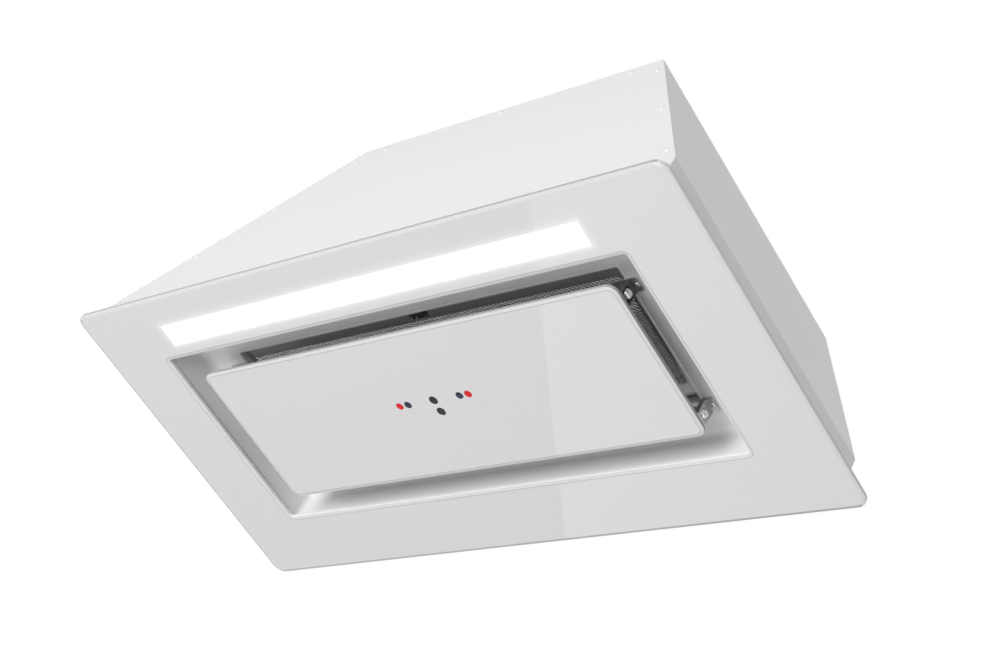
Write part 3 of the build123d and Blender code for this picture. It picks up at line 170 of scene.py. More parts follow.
rough = around(sprayedGrain, drifts, takes["Roughness Spread"], takes["Roughness"])
giveOut(sprayedGrain, gives, Colour=tinted(sprayedGrain, takes["Colour"], tone),
        Roughness=rough, Height=specks)

# Brushed metal: fine streaks, long along one axis
brushedGrain, takes, gives = newPattern("brushedGrain", [
    ("Vector", "Vector", None),
    ("Colour", "Color", (0.6, 0.6, 0.6, 1.0)),
    ("Stretch", "Vector", (6.0, 900.0, 900.0)),
    ("Streak Tint", "Float", 0.12),
    ("Blotches per Metre", "Float", 9.0),
    ("Roughness", "Float", 0.3),
    ("Roughness Spread", "Float", 0.15),
], surfaceGives)
stretched = firstOut(brushedGrain, "ShaderNodeVectorMath",
                     {0: takes["Vector"], 1: takes["Stretch"]}, operation="MULTIPLY")
streaks = firstOut(brushedGrain, "ShaderNodeTexNoise",
                   {"Vector": stretched, "Scale": 1.0, "Detail": 3.0, "Roughness": 0.6})
blotches = firstOut(brushedGrain, "ShaderNodeTexNoise",
                    {"Vector": takes["Vector"], "Scale": takes["Blotches per Metre"],
                     "Detail": 2.0})
tone = around(brushedGrain, streaks, takes["Streak Tint"], 1.0)
halfStreaks = maths(brushedGrain, "MULTIPLY", streaks, 0.5)
mixedNoise = maths(brushedGrain, "MULTIPLY_ADD", blotches, 0.5, halfStreaks)
rough = around(brushedGrain, mixedNoise, takes["Roughness Spread"], takes["Roughness"])
giveOut(brushedGrain, gives, Colour=tinted(brushedGrain, takes["Colour"], tone),
        Roughness=rough, Height=streaks)

# Zinc spangle: crystals a few millimetres across
zincSpangle, takes, gives = newPattern("zincSpangle", [
    ("Vector", "Vector", None),
    ("Colour", "Color", (0.6, 0.6, 0.6, 1.0)),
    ("Crystals per Metre", "Float", 130.0),
    ("Crystal Tint", "Float", 0.12),
    ("Roughness", "Float", 0.38),
    ("Roughness Spread", "Float", 0.14),
], surfaceGives)
crystals = addNode(zincSpangle, "ShaderNodeTexVoronoi",
                   {"Vector": takes["Vector"], "Scale": takes["Crystals per Metre"],
                    "Randomness": 1.0})
crystalShade = firstOut(zincSpangle, "ShaderNodeSeparateColor", {0: crystals.outputs["Color"]})
tone = around(zincSpangle, crystalShade, takes["Crystal Tint"], 1.0)
rough = around(zincSpangle, crystalShade, takes["Roughness Spread"], takes["Roughness"])
giveOut(zincSpangle, gives, Colour=tinted(zincSpangle, takes["Colour"], tone),
        Roughness=rough, Height=crystals.outputs["Distance"])

# Round the light strip: Glow is the light that leaks into the glass, Lit fades in over the rim
stripGlow, takes, gives = newPattern("stripGlow", [
    ("Vector", "Vector", None),
    ("Half Length", "Float", 0.2865),
    ("Half Width", "Float", 0.014),
    ("Middle Y", "Float", -0.15),
    ("Reach", "Float", 0.005),
    ("Soft Rim", "Float", 0.004),
], [("Glow", "Float"), ("Lit", "Float")])
place = addNode(stripGlow, "ShaderNodeSeparateXYZ", {0: takes["Vector"]}).outputs
sideX = maths(stripGlow, "ABSOLUTE", place[0])
sideY = maths(stripGlow, "ABSOLUTE", maths(stripGlow, "SUBTRACT", place[1], takes["Middle Y"]))
pastLength = maths(stripGlow, "SUBTRACT", sideX, takes["Half Length"])
pastWidth = maths(stripGlow, "SUBTRACT", sideY, takes["Half Width"])
inside = maths(stripGlow, "MULTIPLY", maths(stripGlow, "MAXIMUM", pastLength, pastWidth), -1.0)
rimShare = maths(stripGlow, "DIVIDE", inside, takes["Soft Rim"])
rimShare = maths(stripGlow, "MINIMUM", rimShare, 1.0)
outX = maths(stripGlow, "MAXIMUM", pastLength, 0.0)
outY = maths(stripGlow, "MAXIMUM", pastWidth, 0.0)
squareX = maths(stripGlow, "MULTIPLY", outX, outX)
squareY = maths(stripGlow, "MULTIPLY", outY, outY)
distance = maths(stripGlow, "SQRT", maths(stripGlow, "ADD", squareX, squareY))
fade = maths(stripGlow, "MULTIPLY", maths(stripGlow, "DIVIDE", distance, takes["Reach"]), -1.0)
giveOut(stripGlow, gives, Glow=maths(stripGlow, "EXPONENT", fade),
        Lit=maths(stripGlow, "MAXIMUM", rimShare, 0.0))


# Finish helpers
def newFinish(name, **numbers):
    # A material; numbers are the shader's own sockets, with _ for each space
    material = bpy.data.materials.new(name)
    material.use_nodes = True
    tree = material.node_tree
    shader = tree.nodes["Principled BSDF"]
    for key, value in numbers.items():
        shader.inputs[key.replace("_", " ")].default_value = value
    coords = addNode(tree, "ShaderNodeTexCoord").outputs["Object"]
    return material, tree, shader, coords


def addPattern(tree, shader, coords, group, colour, numbers):
    # Puts a shared pattern on the colour and the roughness, and gives back its height
    feeds = {"Vector": coords, "Colour": (*colour, 1.0), **numbers}
    pattern = addNode(tree, "ShaderNodeGroup", feeds, node_tree=group)
    tree.links.new(pattern.outputs["Colour"], shader.inputs["Base Color"])
    tree.links.new(pattern.outputs["Roughness"], shader.inputs["Roughness"])
    return pattern.outputs["Height"]


def addBump(tree, shader, height, strength, depth=0.0002):
    bump = firstOut(tree, "ShaderNodeBump",
                    {"Height": height, "Strength": strength, "Distance": depth})
    tree.links.new(bump, shader.inputs["Normal"])


def addLight(tree, shader, power):
    # The surface's own white light
    tree.links.new(tinted(tree, (1.0, 1.0, 1.0), power), shader.inputs["Emission Color"])
    shader.inputs["Emission Strength"].default_value = 1.0


def grainedFinish(name, colour, grain, **numbers):
    # Paint or moulded plastic
    material, tree, shader, coords = newFinish(name, **numbers)
    height = addPattern(tree, shader, coords, sprayedGrain, colour, grain["pattern"])
    addBump(tree, shader, height, grain["strength"], grain["depth"])
    return material


def brushedFinish(name, colour, stretch, streak, rough, spread, strength=0.12):
    material, tree, shader, coords = newFinish(name, Metallic=1.0)
    height = addPattern(tree, shader, coords, brushedGrain, colour, {
        "Stretch": stretch, "Streak Tint": streak, "Roughness": rough, "Roughness Spread": spread,
    })
    addBump(tree, shader, height, strength)
    return material


def zincFinish(name, colour, crystalsPerMetre, rough, strength=0.1):
    material, tree, shader, coords = newFinish(name, Metallic=1.0)
    height = addPattern(tree, shader, coords, zincSpangle, colour,
                        {"Crystals per Metre": crystalsPerMetre, "Roughness": rough})
    addBump(tree, shader, height, strength)
    return material


# White back-painted glass: paint under a polished coat, with the strip's light in its face
glassLook = {
    "parts": {  # colour and roughness; the material numbers follow this order
        "whiteGlass": ((0.625, 0.625, 0.63), 0.45),
        "glassRim": ((0.60, 0.605, 0.605), 0.2),
        # painted shade: a dark line drawn where the facet meets the face
        "arrisLine": ((0.37, 0.38, 0.38), 0.3),
        # painted shade: the outer edge's facets drawn darker than the glass
        "outerEdge": ((0.39, 0.40, 0.40), 0.2),
        # painted light: the opening's upright sides drawn lighter than the glass
        "innerEdge": ((0.90, 0.90, 0.90), 0.3),
    },
    "glow": 0.2,
    "glowReach": 0.0034,
    "shader": {"IOR": 1.5, "Specular_IOR_Level": 0.1, "Coat_Weight": 1.0,
               "Coat_Roughness": 0.012, "Coat_IOR": 1.52},
    "pattern": {"Specks per Metre": 420.0, "Speck Tint": 0.006, "Drifts per Metre": 4.0,
                "Drift Tint": 0.012, "Roughness Spread": 0.1},
}


def glassFinish(name):
    colour, rough = glassLook["parts"][name]
    material, tree, shader, coords = newFinish(name, **glassLook["shader"])
    addPattern(tree, shader, coords, sprayedGrain, colour,
               {**glassLook["pattern"], "Roughness": rough})
    if name == "whiteGlass":
        halo = addNode(tree, "ShaderNodeGroup",
                       {"Vector": coords, "Reach": glassLook["glowReach"]}, node_tree=stripGlow)
        addLight(tree, shader, maths(tree, "MULTIPLY", halo.outputs["Glow"], glassLook["glow"]))
    return material


glassParts = [glassFinish(name) for name in glassLook["parts"]]
partNumber = {name: number for number, name in enumerate(glassLook["parts"])}

# The opal strip, lit from behind by its row of chips, and dimmer towards its rim
stripLook = {
    "colour": (0.50, 0.50, 0.51, 1.0),
    "rough": 0.35,
    "power": 1.25,
    "chipPitch": 0.04,
    "ripple": 0.04,
    "rimPower": 0.32,
    "softRim": 0.008,
}
opal, tree, shader, coords = newFinish("opal", Base_Color=stripLook["colour"],
                                       Roughness=stripLook["rough"])
alongStrip = firstOut(tree, "ShaderNodeSeparateXYZ", {0: coords})
chipTurns = maths(tree, "MULTIPLY", alongStrip, math.tau / stripLook["chipPitch"])
wave = maths(tree, "COSINE", chipTurns)
power = maths(tree, "MULTIPLY_ADD", wave, stripLook["ripple"], stripLook["power"])
stripRim = addNode(tree, "ShaderNodeGroup",
                   {"Vector": coords, "Soft Rim": stripLook["softRim"]}, node_tree=stripGlow)
rimPower = stripLook["rimPower"]
lit = maths(tree, "MULTIPLY_ADD", stripRim.outputs["Lit"], 1.0 - rimPower, rimPower)
addLight(tree, shader, maths(tree, "MULTIPLY", power, lit))

# Grains: how each sprayed or moulded surface is broken up
powderCoat = {
    "pattern": {"Specks per Metre": 700.0, "Speck Tint": 0.012, "Drifts per Metre": 5.0,
                "Drift Tint": 0.02, "Roughness": 0.42, "Roughness Spread": 0.12},
    "strength": 0.10, "depth": 0.0002,
}
mouldedGrain = {
    "pattern": {"Specks per Metre": 1500.0, "Speck Tint": 0.10, "Drifts per Metre": 14.0,
                "Drift Tint": 0.10, "Roughness": 0.5, "Roughness Spread": 0.14},
    "strength": 0.25, "depth": 0.0002,
}
smoothMoulding = {
    "pattern": {"Specks per Metre": 900.0, "Speck Tint": 0.02, "Drifts per Metre": 20.0,
                "Drift Tint": 0.05, "Roughness": 0.25, "Roughness Spread": 0.1},
    "strength": 0.05, "depth": 0.0001,
}
boardGrain = {
    "pattern": {"Specks per Metre": 260.0, "Speck Tint": 0.4, "Drifts per Metre": 60.0,
                "Drift Tint": 0.2, "Roughness": 0.35, "Roughness Spread": 0.1},
    "strength": 0.1, "depth": 0.0001,
}


def grained(name, colour):
    return grainedFinish(name, colour, mouldedGrain)


def lens(name, colour):
    # Dark clear plastic seen against its own body, so with little shine
    return grainedFinish(name, colour, smoothMoulding, Specular_IOR_Level=0.22)


# One finish for each of the record's material slots
finishes = {
    "white_glass": glassParts[0],
    "opal": opal,
    "white_paint": grainedFinish("whitePaint", (0.80, 0.80, 0.80), powderCoat,
                                 Specular_IOR_Level=0.4),
    "zinc_sheet": zincFinish("zincSheet", (0.46, 0.47, 0.48), 130.0, 0.5),
    "filter_steel": brushedFinish("filterSteel", (0.46, 0.46, 0.455), (9.0, 500.0, 500.0),
                                  streak=0.12, rough=0.62, spread=0.14),
    "filter_mesh": brushedFinish("filterWire", (0.68, 0.68, 0.67), (120.0, 120.0, 120.0),
                                 streak=0.3, rough=0.5, spread=0.2),
    "bright_steel": brushedFinish("brightSteel", (0.75, 0.75, 0.75), (90.0, 90.0, 90.0),
                                  streak=0.04, rough=0.08, spread=0.05, strength=0.02),
    "spring_steel": brushedFinish("springSteel", (0.62, 0.62, 0.62), (200.0, 200.0, 200.0),
                                  streak=0.1, rough=0.22, spread=0.08),
    "screw_steel": brushedFinish("screwSteel", (0.66, 0.66, 0.64), (260.0, 260.0, 260.0),
                                 streak=0.1, rough=0.26, spread=0.12),
    "rivet_aluminium": grainedFinish("rivetAluminium", (0.74, 0.74, 0.74), powderCoat,
                                     Metallic=0.3),
    "scroll_plastic": grained("scrollPlastic", (0.075, 0.08, 0.088)),
    "impeller_plastic": grained("impellerPlastic", (0.016, 0.016, 0.018)),
    "motor_paint": grainedFinish("motorPaint", (0.035, 0.038, 0.042), powderCoat),
    "lamination": brushedFinish("lamination", (0.20, 0.19, 0.18), (1400.0, 20.0, 20.0),
                                streak=0.35, rough=0.5, spread=0.15),
    "rubber": grained("rubber", (0.012, 0.012, 0.012)),
    "collar_plastic": grained("collarPlastic", (0.020, 0.020, 0.022)),
    "box_plastic": grained("boxPlastic", (0.52, 0.53, 0.54)),
    "dark_plastic": grained("darkPlastic", (0.085, 0.085, 0.09)),
    "board_green": grainedFinish("boardGreen", (0.012, 0.10, 0.035), boardGrain),
    "chip_yellow": grainedFinish("chipYellow", (0.85, 0.62, 0.14), smoothMoulding),
    "capacitor_shell": grainedFinish("capacitorShell", (0.66, 0.66, 0.62), smoothMoulding),
    "eye_grey": lens("eyeGrey", (0.014, 0.015, 0.016)),
    "indicator_blue": lens("indicatorBlue", (0.012, 0.022, 0.045)),
    "indicator_red": lens("indicatorRed", (0.62, 0.004, 0.010)),
}
slotOf = {entry["node"]: entry["material_slot"] for entry in frame["record"]["subparts"]}
for node, thing in nodes.items():
    if not thing.material_slots:
        thing.data.materials.append(finishes[slotOf[node]])
    for materialSlot in thing.material_slots:
        materialSlot.material = finishes[slotOf[node]]
print("hood:", len(finishes), "finishes made")


# Mesh helpers; every size is in millimetres until a vertex is made
def placePiece(name, mesh, body, slotName, *replaced, materials=None):
    piece = addObject(name, mesh)
    if len(mesh.materials) > 0:  # clear() also sets every face back to the first material
        mesh.materials.clear()
    for material in materials or [finishes[slotName]]:
        mesh.materials.append(material)
    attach(piece, body)
    if replaced:
        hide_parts(*replaced)
    return piece


def toMesh(shape, name, sharpAngle=35.0):
    mesh = bpy.data.meshes.new(name)
    shape.to_mesh(mesh)
    shape.free()
    mesh.shade_smooth()
    mesh.set_sharp_from_angle(angle=math.radians(sharpAngle))
    return mesh


def closedMesh(shape, name, sharpAngle=35.0):
    # For drawn shapes: their faces are turned outwards first
    bmesh.ops.recalc_face_normals(shape, faces=shape.faces)
    return toMesh(shape, name, sharpAngle)


def mergedCopy(node):
    # A CAD node's loose triangles as one joined shape
    shape = bmesh.new()
    shape.from_mesh(nodes[node].data)
    bmesh.ops.remove_doubles(shape, verts=shape.verts, dist=1e-6)
    return shape


def camelName(node):
    words = node.split("_")
    return words[0] + "".join(word.title() for word in words[1:])


def roundedLoop(cut, inset):
    # The points round a rounded rectangle, or a disc where its radius is its half width
    middleX, middleY = cut.get("centre", (0.0, 0.0))
    radius = max(cut["radius"] - inset, 0.02)  # a corner never closes to a point
    reachX = cut["half"][0] - inset - radius
    reachY = cut["half"][1] - inset - radius
    steps = cut.get("steps", 14)
    points = []
    for quarter, (signX, signY) in enumerate(((1, 1), (-1, 1), (-1, -1), (1, -1))):
        for step in range(steps + 1):
            angle = math.radians(90.0 * (quarter + step / steps))
            points.append((middleX + signX * reachX + radius * math.cos(angle),
                           middleY + signY * reachY + radius * math.sin(angle)))
    return points


def ringOf(shape, points, height):
    return [shape.verts.new((x * mm, y * mm, height * mm)) for x, y in points]


def circle(radius, turns):
    angles = [math.tau * turn / turns for turn in range(turns)]
    return [(radius * math.cos(angle), radius * math.sin(angle)) for angle in angles]


def bridge(shape, lower, upper, materialIndex=0):
    for index in range(len(lower)):
        following = (index + 1) % len(lower)
        corners = (lower[index], lower[following], upper[following], upper[index])
        shape.faces.new(corners).material_index = materialIndex


def bridgeRound(shape, rings):
    # Joins each ring to the next, and the last to the first
    for lower, upper in zip(rings, rings[1:] + rings[:1]):
        bridge(shape, lower, upper)


def capRings(shape, rings):
    # Fills between an outer ring and the rings of its holes
    flat = [vertex for ring in rings for vertex in ring]
    for corners in tessellate_polygon([[vertex.co for vertex in ring] for ring in rings]):
        shape.faces.new([flat[corner] for corner in corners])


def lathe(shape, profile, turns, seat):
    # Spins (radius, height) points about local Z and puts them at the seat matrix
    rings = []
    for radius, height in profile:
        spots = circle(radius, turns) if radius else [(0.0, 0.0)]
        rings.append([shape.verts.new(seat @ (Vector((x, y, height)) * mm)) for x, y in spots])
    for lower, upper in zip(rings, rings[1:]):
        for turn in range(turns):
            following = (turn + 1) % turns
            if len(lower) == 1:
                corners = (lower[0], upper[following], upper[turn])
            elif len(upper) == 1:
                corners = (lower[turn], lower[following], upper[0])
            else:
                corners = (lower[turn], lower[following], upper[following], upper[turn])
            shape.faces.new(corners)


def facing(direction, x, y, z):
    # A matrix whose local Z points along direction, at a place
    turn = Vector((0, 0, 1)).rotation_difference(Vector(direction)).to_matrix().to_4x4()
    return Matrix.Translation(Vector((x, y, z)) * mm) @ turn


# Glass: its polished edge is a facet with eased ends, and a fine line where it meets the face,
# drawn dark as painted shade
glassEdge = {
    "backLand": 0.5,  # flat ring drawn inside the back's edge
    "faceLand": 0.6,  # and inside the fine line
    "plainLine": 0.05,  # the line's width on a wall without a facet
    "above": 1.06,  # where the upright side ends, as a share of the facet's depth
    "upper": (0.02, 0.97),  # the facet's two ends, as shares of its width and depth
    "lower": (0.97, 0.02),
    "toe": 1.02,
}


def glassWall(cut, sizes):
    # One wall from the painted back down to the face: (inset, height, part of the next band)
    thickness = sizes["thickness"]
    arris = sizes["arris"]
    face = partNumber["whiteGlass"]
    if cut.get("faceted", True):
        wide, deep = sizes["facet"]
        line, band, lineBand = sizes["line"], partNumber["glassRim"], partNumber["arrisLine"]
    else:
        wide, deep = arris, arris
        line, band, lineBand = glassEdge["plainLine"], face, face
    upper, lower = glassEdge["upper"], glassEdge["lower"]
    toe = wide * glassEdge["toe"]
    return [
        (arris + glassEdge["backLand"], thickness, face),
        (arris, thickness, band),
        (0.0, thickness - arris, band),
        (0.0, deep * glassEdge["above"], band),
        (wide * upper[0], deep * upper[1], band),
        (wide * lower[0], deep * lower[1], band),
        (toe, 0.0, lineBand),
        (toe + line, 0.0, face),
        (toe + line + glassEdge["faceLand"], 0.0, face),
    ]


def glassPlate(name, sizes, holes):
    shape = bmesh.new()
    backRings = []
    faceRings = []
    for cut, side in [(sizes["outer"], 1.0)] + [(hole, -1.0) for hole in holes]:
        wall = glassWall(cut, sizes)
        rings = [ringOf(shape, roundedLoop(cut, side * inset), height)
                 for inset, height, part in wall]
        for step, lower, upper in zip(wall, rings, rings[1:]):
            bridge(shape, lower, upper, step[2])
        backRings.append(rings[0])
        faceRings.append(rings[-1])
    capRings(shape, backRings)
    capRings(shape, faceRings)
    return closedMesh(shape, name)


# Glass frame with its opening and the slot for the strip
glassFrame = {
    "outer": {"half": (400.0, 200.0), "radius": 13.0},
    "opening": {"half": (313.0, 120.0), "radius": 4.0},
    "slot": {"half": (286.8, 14.3), "radius": 2.3, "centre": (0.0, -150.0), "faceted": False,
             "steps": 5},
    "thickness": 5.0,
    "facet": (3.4, 1.1),
    "line": 0.8,
    "arris": 0.3,
    "edgeSide": (394.0, 194.0),  # past these the outer edge begins,
    "edgeCorner": (380.0, 180.0),  # and past both of these at a corner
    "rightSide": 392.0,
    "frontSide": -196.0,
    "frontFacetTop": 1.0,
    "uprightFrom": 1.2,
}
mesh = glassPlate("glassFrame", glassFrame, [glassFrame["opening"], glassFrame["slot"]])
placePiece("glassFrame", mesh, "housing", "white_glass", "glass_frame", materials=glassParts)
for face in mesh.polygons:
    # Painted shade: the outer edge's facets are dark, but its front facet and its right side are
    # as light as the face; painted light: the opening's upright sides are the lightest
    centre = face.center / mm
    farX, farY = abs(centre.x), abs(centre.y)
    sideX, sideY = glassFrame["edgeSide"]
    cornerX, cornerY = glassFrame["edgeCorner"]
    outside = farX > sideX or farY > sideY or (farX > cornerX and farY > cornerY)
    onFacet = face.material_index == partNumber["glassRim"]
    if face.material_index != partNumber["whiteGlass"] and outside:
        onFront = centre.y < glassFrame["frontSide"] and centre.z < glassFrame["frontFacetTop"]
        dark = onFacet and not onFront and centre.x < glassFrame["rightSide"]
        face.material_index = partNumber["outerEdge" if dark else "whiteGlass"]
    elif onFacet and centre.z > glassFrame["uprightFrom"]:
        face.material_index = partNumber["innerEdge"]

# Panel glass with the holes for its six lenses
panelGlass = {
    "outer": {"half": (281.0, 91.5), "radius": 11.0},
    "eyes": [(0.0, -4.6), (0.0, 10.6)],
    "eyeRadius": 5.0,
    "blue": [(-35.5, -4.6), (35.5, -4.6)],
    "red": [(-47.0, -4.6), (47.0, -4.6)],
    "lampRadius": 4.25,
    "gap": 0.1,
    "holeSteps": 10,
    "thickness": 5.0,
    "facet": (3.2, 1.1),
    "line": 0.8,
    "arris": 0.25,
    "uprightFrom": 1.2,
}
lensHoles = []
for spots, radius in ((panelGlass["eyes"], panelGlass["eyeRadius"]),
                      (panelGlass["blue"] + panelGlass["red"], panelGlass["lampRadius"])):
    reach = radius + panelGlass["gap"]
    for spot in spots:
        lensHoles.append({"half": (reach, reach), "radius": reach, "centre": spot,
                          "faceted": False, "steps": panelGlass["holeSteps"]})
mesh = glassPlate("panelGlass", panelGlass, lensHoles)
placePiece("panelGlass", mesh, "panel", "white_glass", "panel_glass", materials=glassParts[:4])
for face in mesh.polygons:
    # Painted shade: the panel's upright sides are darker than its polished facet
    upright = face.center.z > panelGlass["uprightFrom"] * mm
    if face.material_index == partNumber["glassRim"] and upright:
        face.material_index = partNumber["outerEdge"]

# Lenses: a shallow dome in a small rim, with the lip behind the glass
lensShape = {
    "nose": 0.05,
    "dish": 0.35,
    "dome": 0.86,  # the dome's radius as a share of the lens
    "domeSteps": 9,
    "rimFoot": 0.88,
    "rim": [(0.90, 0.12), (0.93, 0.03), (0.97, 0.03), (1.0, 0.12)],
    "lip": 1.2,
    "lipThickness": 1.0,
    "turns": 40,
}


def lensMesh(name, spots, radius):
    shape = bmesh.new()
    back = panelGlass["thickness"]
    lipBack = back + lensShape["lipThickness"]
    lipRadius = radius + lensShape["lip"]
    profile = []
    for step in range(lensShape["domeSteps"]):
        share = step / lensShape["domeSteps"]
        profile.append((radius * lensShape["dome"] * share,
                        lensShape["nose"] + lensShape["dish"] * share * share))
    profile.append((radius * lensShape["rimFoot"], lensShape["dish"]))
    profile += [(radius * share, depth) for share, depth in lensShape["rim"]]
    profile += [(radius, back), (lipRadius, back), (lipRadius, lipBack), (0.0, lipBack)]
    for x, y in spots:
        lathe(shape, profile, lensShape["turns"], facing((0, 0, 1), x, y, 0.0))
    return closedMesh(shape, name, 40.0)


for name, spots, radius, slotName, node in (
    ("sensorEyes", "eyes", "eyeRadius", "eye_grey", "sensor_eyes"),
    ("blueLamps", "blue", "lampRadius", "indicator_blue", "blue_indicators"),
    ("redLamps", "red", "lampRadius", "indicator_red", "red_indicators"),
):
    mesh = lensMesh(name, panelGlass[spots], panelGlass[radius])
    placePiece(name, mesh, "panel", slotName, node)
print("hood: glass and lenses made")

# Ball pins, turned from one bar: head, pin and ball
ballPin = {
    "headX": 254.5,
    "ballX": 264.0,
    "z": 30.0,
    "rearY": 88.0,
    "frontY": -61.0,
    "ball": 6.0,
    "ballSteps": 24,
    "pin": 2.0,
    "head": 3.5,
    "headThickness": 1.5,
    "chamfer": 0.4,
    "turns": 48,
}
ball, pin, head = ballPin["ball"], ballPin["pin"], ballPin["head"]
reach = ballPin["ballX"] - ballPin["headX"]
neck = reach - math.sqrt(ball ** 2 - pin ** 2)
pinProfile = [
    (0.0, 0.0), (head - ballPin["chamfer"], 0.0), (head, ballPin["chamfer"]),
    (head, ballPin["headThickness"]), (pin, ballPin["headThickness"]), (pin, neck),
]
startAngle = math.asin(pin / ball)
for step in range(1, ballPin["ballSteps"]):
    angle = startAngle + (math.pi - startAngle) * step / ballPin["ballSteps"]
    pinProfile.append((ball * math.sin(angle), reach - ball * math.cos(angle)))
pinProfile.append((0.0, reach + ball))
shape = bmesh.new()
for y in (ballPin["rearY"], ballPin["frontY"]):
    for side in (1, -1):
        seat = facing((side, 0, 0), side * ballPin["headX"], y, ballPin["z"])
        lathe(shape, pinProfile, ballPin["turns"], seat)
placePiece("ballPins", closedMesh(shape, "ballPins"), "panel", "bright_steel", "rear_ball_pins",
           "front_ball_pins")

# Recess walls: one drawn band with a soft bend at its foot and under the ceiling
recessBand = {
    "wall": {"half": (314.0, 125.0), "radius": 6.0},
    "sheet": 1.0,
    "foot": 6.0,
    "footBend": 0.9,
    "footSteps": 4,
    "ceiling": 44.0,
    "topBend": 9.0,
    "topSteps": 10,
    "feather": 0.05,  # the lip under the ceiling thins to this
    "lip": 4.0,
    "crease": 1.0,  # width of the flat rings that hold a bend's end
    "flange": (12.0, 4.0),
}


def bandRing(shape, inset, height, spread=(0.0, 0.0)):
    wall = recessBand["wall"]
    half = (wall["half"][0] + spread[0], wall["half"][1] + spread[1])
    return ringOf(shape, roundedLoop({"half": half, "radius": wall["radius"]}, inset), height)


def quarterTurn(steps):
    # The sine and cosine of each step through a right angle
    angles = [math.radians(90 * step / steps) for step in range(steps + 1)]
    return [(math.sin(angle), math.cos(angle)) for angle in angles]


sheet, crease = recessBand["sheet"], recessBand["crease"]
foot, footBend = recessBand["foot"], recessBand["footBend"]
ceiling, topBend = recessBand["ceiling"], recessBand["topBend"]
lipZ = ceiling - recessBand["feather"]
shape = bmesh.new()
rings = [
    bandRing(shape, 0.0, foot + sheet, recessBand["flange"]),
    bandRing(shape, 0.0, foot, recessBand["flange"]),
    bandRing(shape, -footBend - crease, foot),
]
for sine, cosine in quarterTurn(recessBand["footSteps"]):
    rings.append(bandRing(shape, footBend * sine - footBend, foot + footBend - footBend * cosine))
for sine, cosine in quarterTurn(recessBand["topSteps"]):
    rings.append(bandRing(shape, topBend - topBend * cosine, lipZ - topBend + topBend * sine))
rings += [
    bandRing(shape, topBend + recessBand["lip"], lipZ),
    bandRing(shape, topBend + recessBand["lip"], ceiling),
    bandRing(shape, -sheet, ceiling),
    bandRing(shape, -sheet, foot + sheet + crease),
    bandRing(shape, -sheet - crease, foot + sheet),
]
bridgeRound(shape, rings)
placePiece("recessBand", closedMesh(shape, "recessBand", 50.0), "housing", "white_paint",
           "recess_ends", "recess_sides")

# Rolled rim round the throat, under the ceiling plate; its profile is (inset, height)
throatRim = {
    "mouth": {"half": (260.0, 82.5), "radius": 2.0, "steps": 5},
    "profile": [(-2.8, 44.0), (-2.7, 43.5), (-2.3, 43.1), (-1.7, 43.0), (-1.1, 43.1),
                (-0.7, 43.5), (-0.6, 44.0)],
}
shape = bmesh.new()
bridgeRound(shape, [ringOf(shape, roundedLoop(throatRim["mouth"], inset), height)
                    for inset, height in throatRim["profile"]])
placePiece("throatRim", closedMesh(shape, "throatRim", 60.0), "housing", "white_paint")
print("hood: ball pins and recess made")

# Pressed and moulded nodes whose edges get a small radius, in millimetres
edgeRadii = {
    "casing_front": 0.3, "casing_rear": 0.3, "casing_left": 0.3, "casing_right": 0.3,
    "casing_top": 0.3, "recess_plate": 0.25, "filter_frame": 0.3, "filter_latch": 0.4,
    "panel_tray": 0.25, "pin_brackets": 0.3, "hinge_sockets": 0.4, "catch_plates": 0.4,
    "front_catches": 0.4, "outlet_collar": 0.5, "front_flap": 0.3, "rear_flap": 0.3,
    "control_box": 0.8, "control_lid": 0.6, "light_driver": 0.8, "motor_bracket": 0.4,
    "motor_case": 0.5, "motor_shield": 0.4,
}
edgeBevel = {"segments": 2, "angle": 35.0, "flatAngle": 0.6}


def softened(node, width):
    shape = mergedCopy(node)
    bmesh.ops.dissolve_limit(shape, angle_limit=math.radians(edgeBevel["flatAngle"]),
                             verts=shape.verts, edges=shape.edges)
    name = camelName(node) + "Soft"
    piece = placePiece(name, toMesh(shape, name), nodes[node]["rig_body"], slotOf[node], node)
    radius = piece.modifiers.new("edgeRadius", "BEVEL")
    radius.width = width * mm
    radius.segments = edgeBevel["segments"]
    radius.limit_method = "ANGLE"
    radius.angle_limit = math.radians(edgeBevel["angle"])
    radius.harden_normals = True
    radius.use_clamp_overlap = True


for node, width in edgeRadii.items():
    softened(node, width)
print("hood:", len(edgeRadii), "nodes given softened edges")

# Latch springs: a joined copy of the CAD node, given a mesh of its own
mesh = toMesh(mergedCopy("latch_springs"), "latchSprings", 50.0)
piece = placePiece("latchSprings", mesh, "housing", "spring_steel", "latch_springs")
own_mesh(piece)


# Geometry Nodes helpers
def newRule(name, takes, gives):
    # A shared tree: takes are (name, socket kind), gives is the name of its one output
    tree = bpy.data.node_groups.new(name, "GeometryNodeTree")
    inputs = {label: newSocket(tree, label, "INPUT", kind).identifier for label, kind in takes}
    newSocket(tree, gives, "OUTPUT", "Geometry")
    return tree, inputs, *groupEnds(tree)


def modifierMesh(tree, name, source, values):
    # Evaluates a tree once and keeps the result as a plain mesh
    modifier = source.modifiers.new("rule", "NODES")
    modifier.node_group = tree
    for identifier, value in values.items():
        modifier[identifier] = value
    bpy.context.view_layer.update()
    evaluated = source.evaluated_get(bpy.context.evaluated_depsgraph_get())
    mesh = bpy.data.meshes.new_from_object(evaluated)
    mesh.name = name
    bpy.data.objects.remove(source)
    return mesh


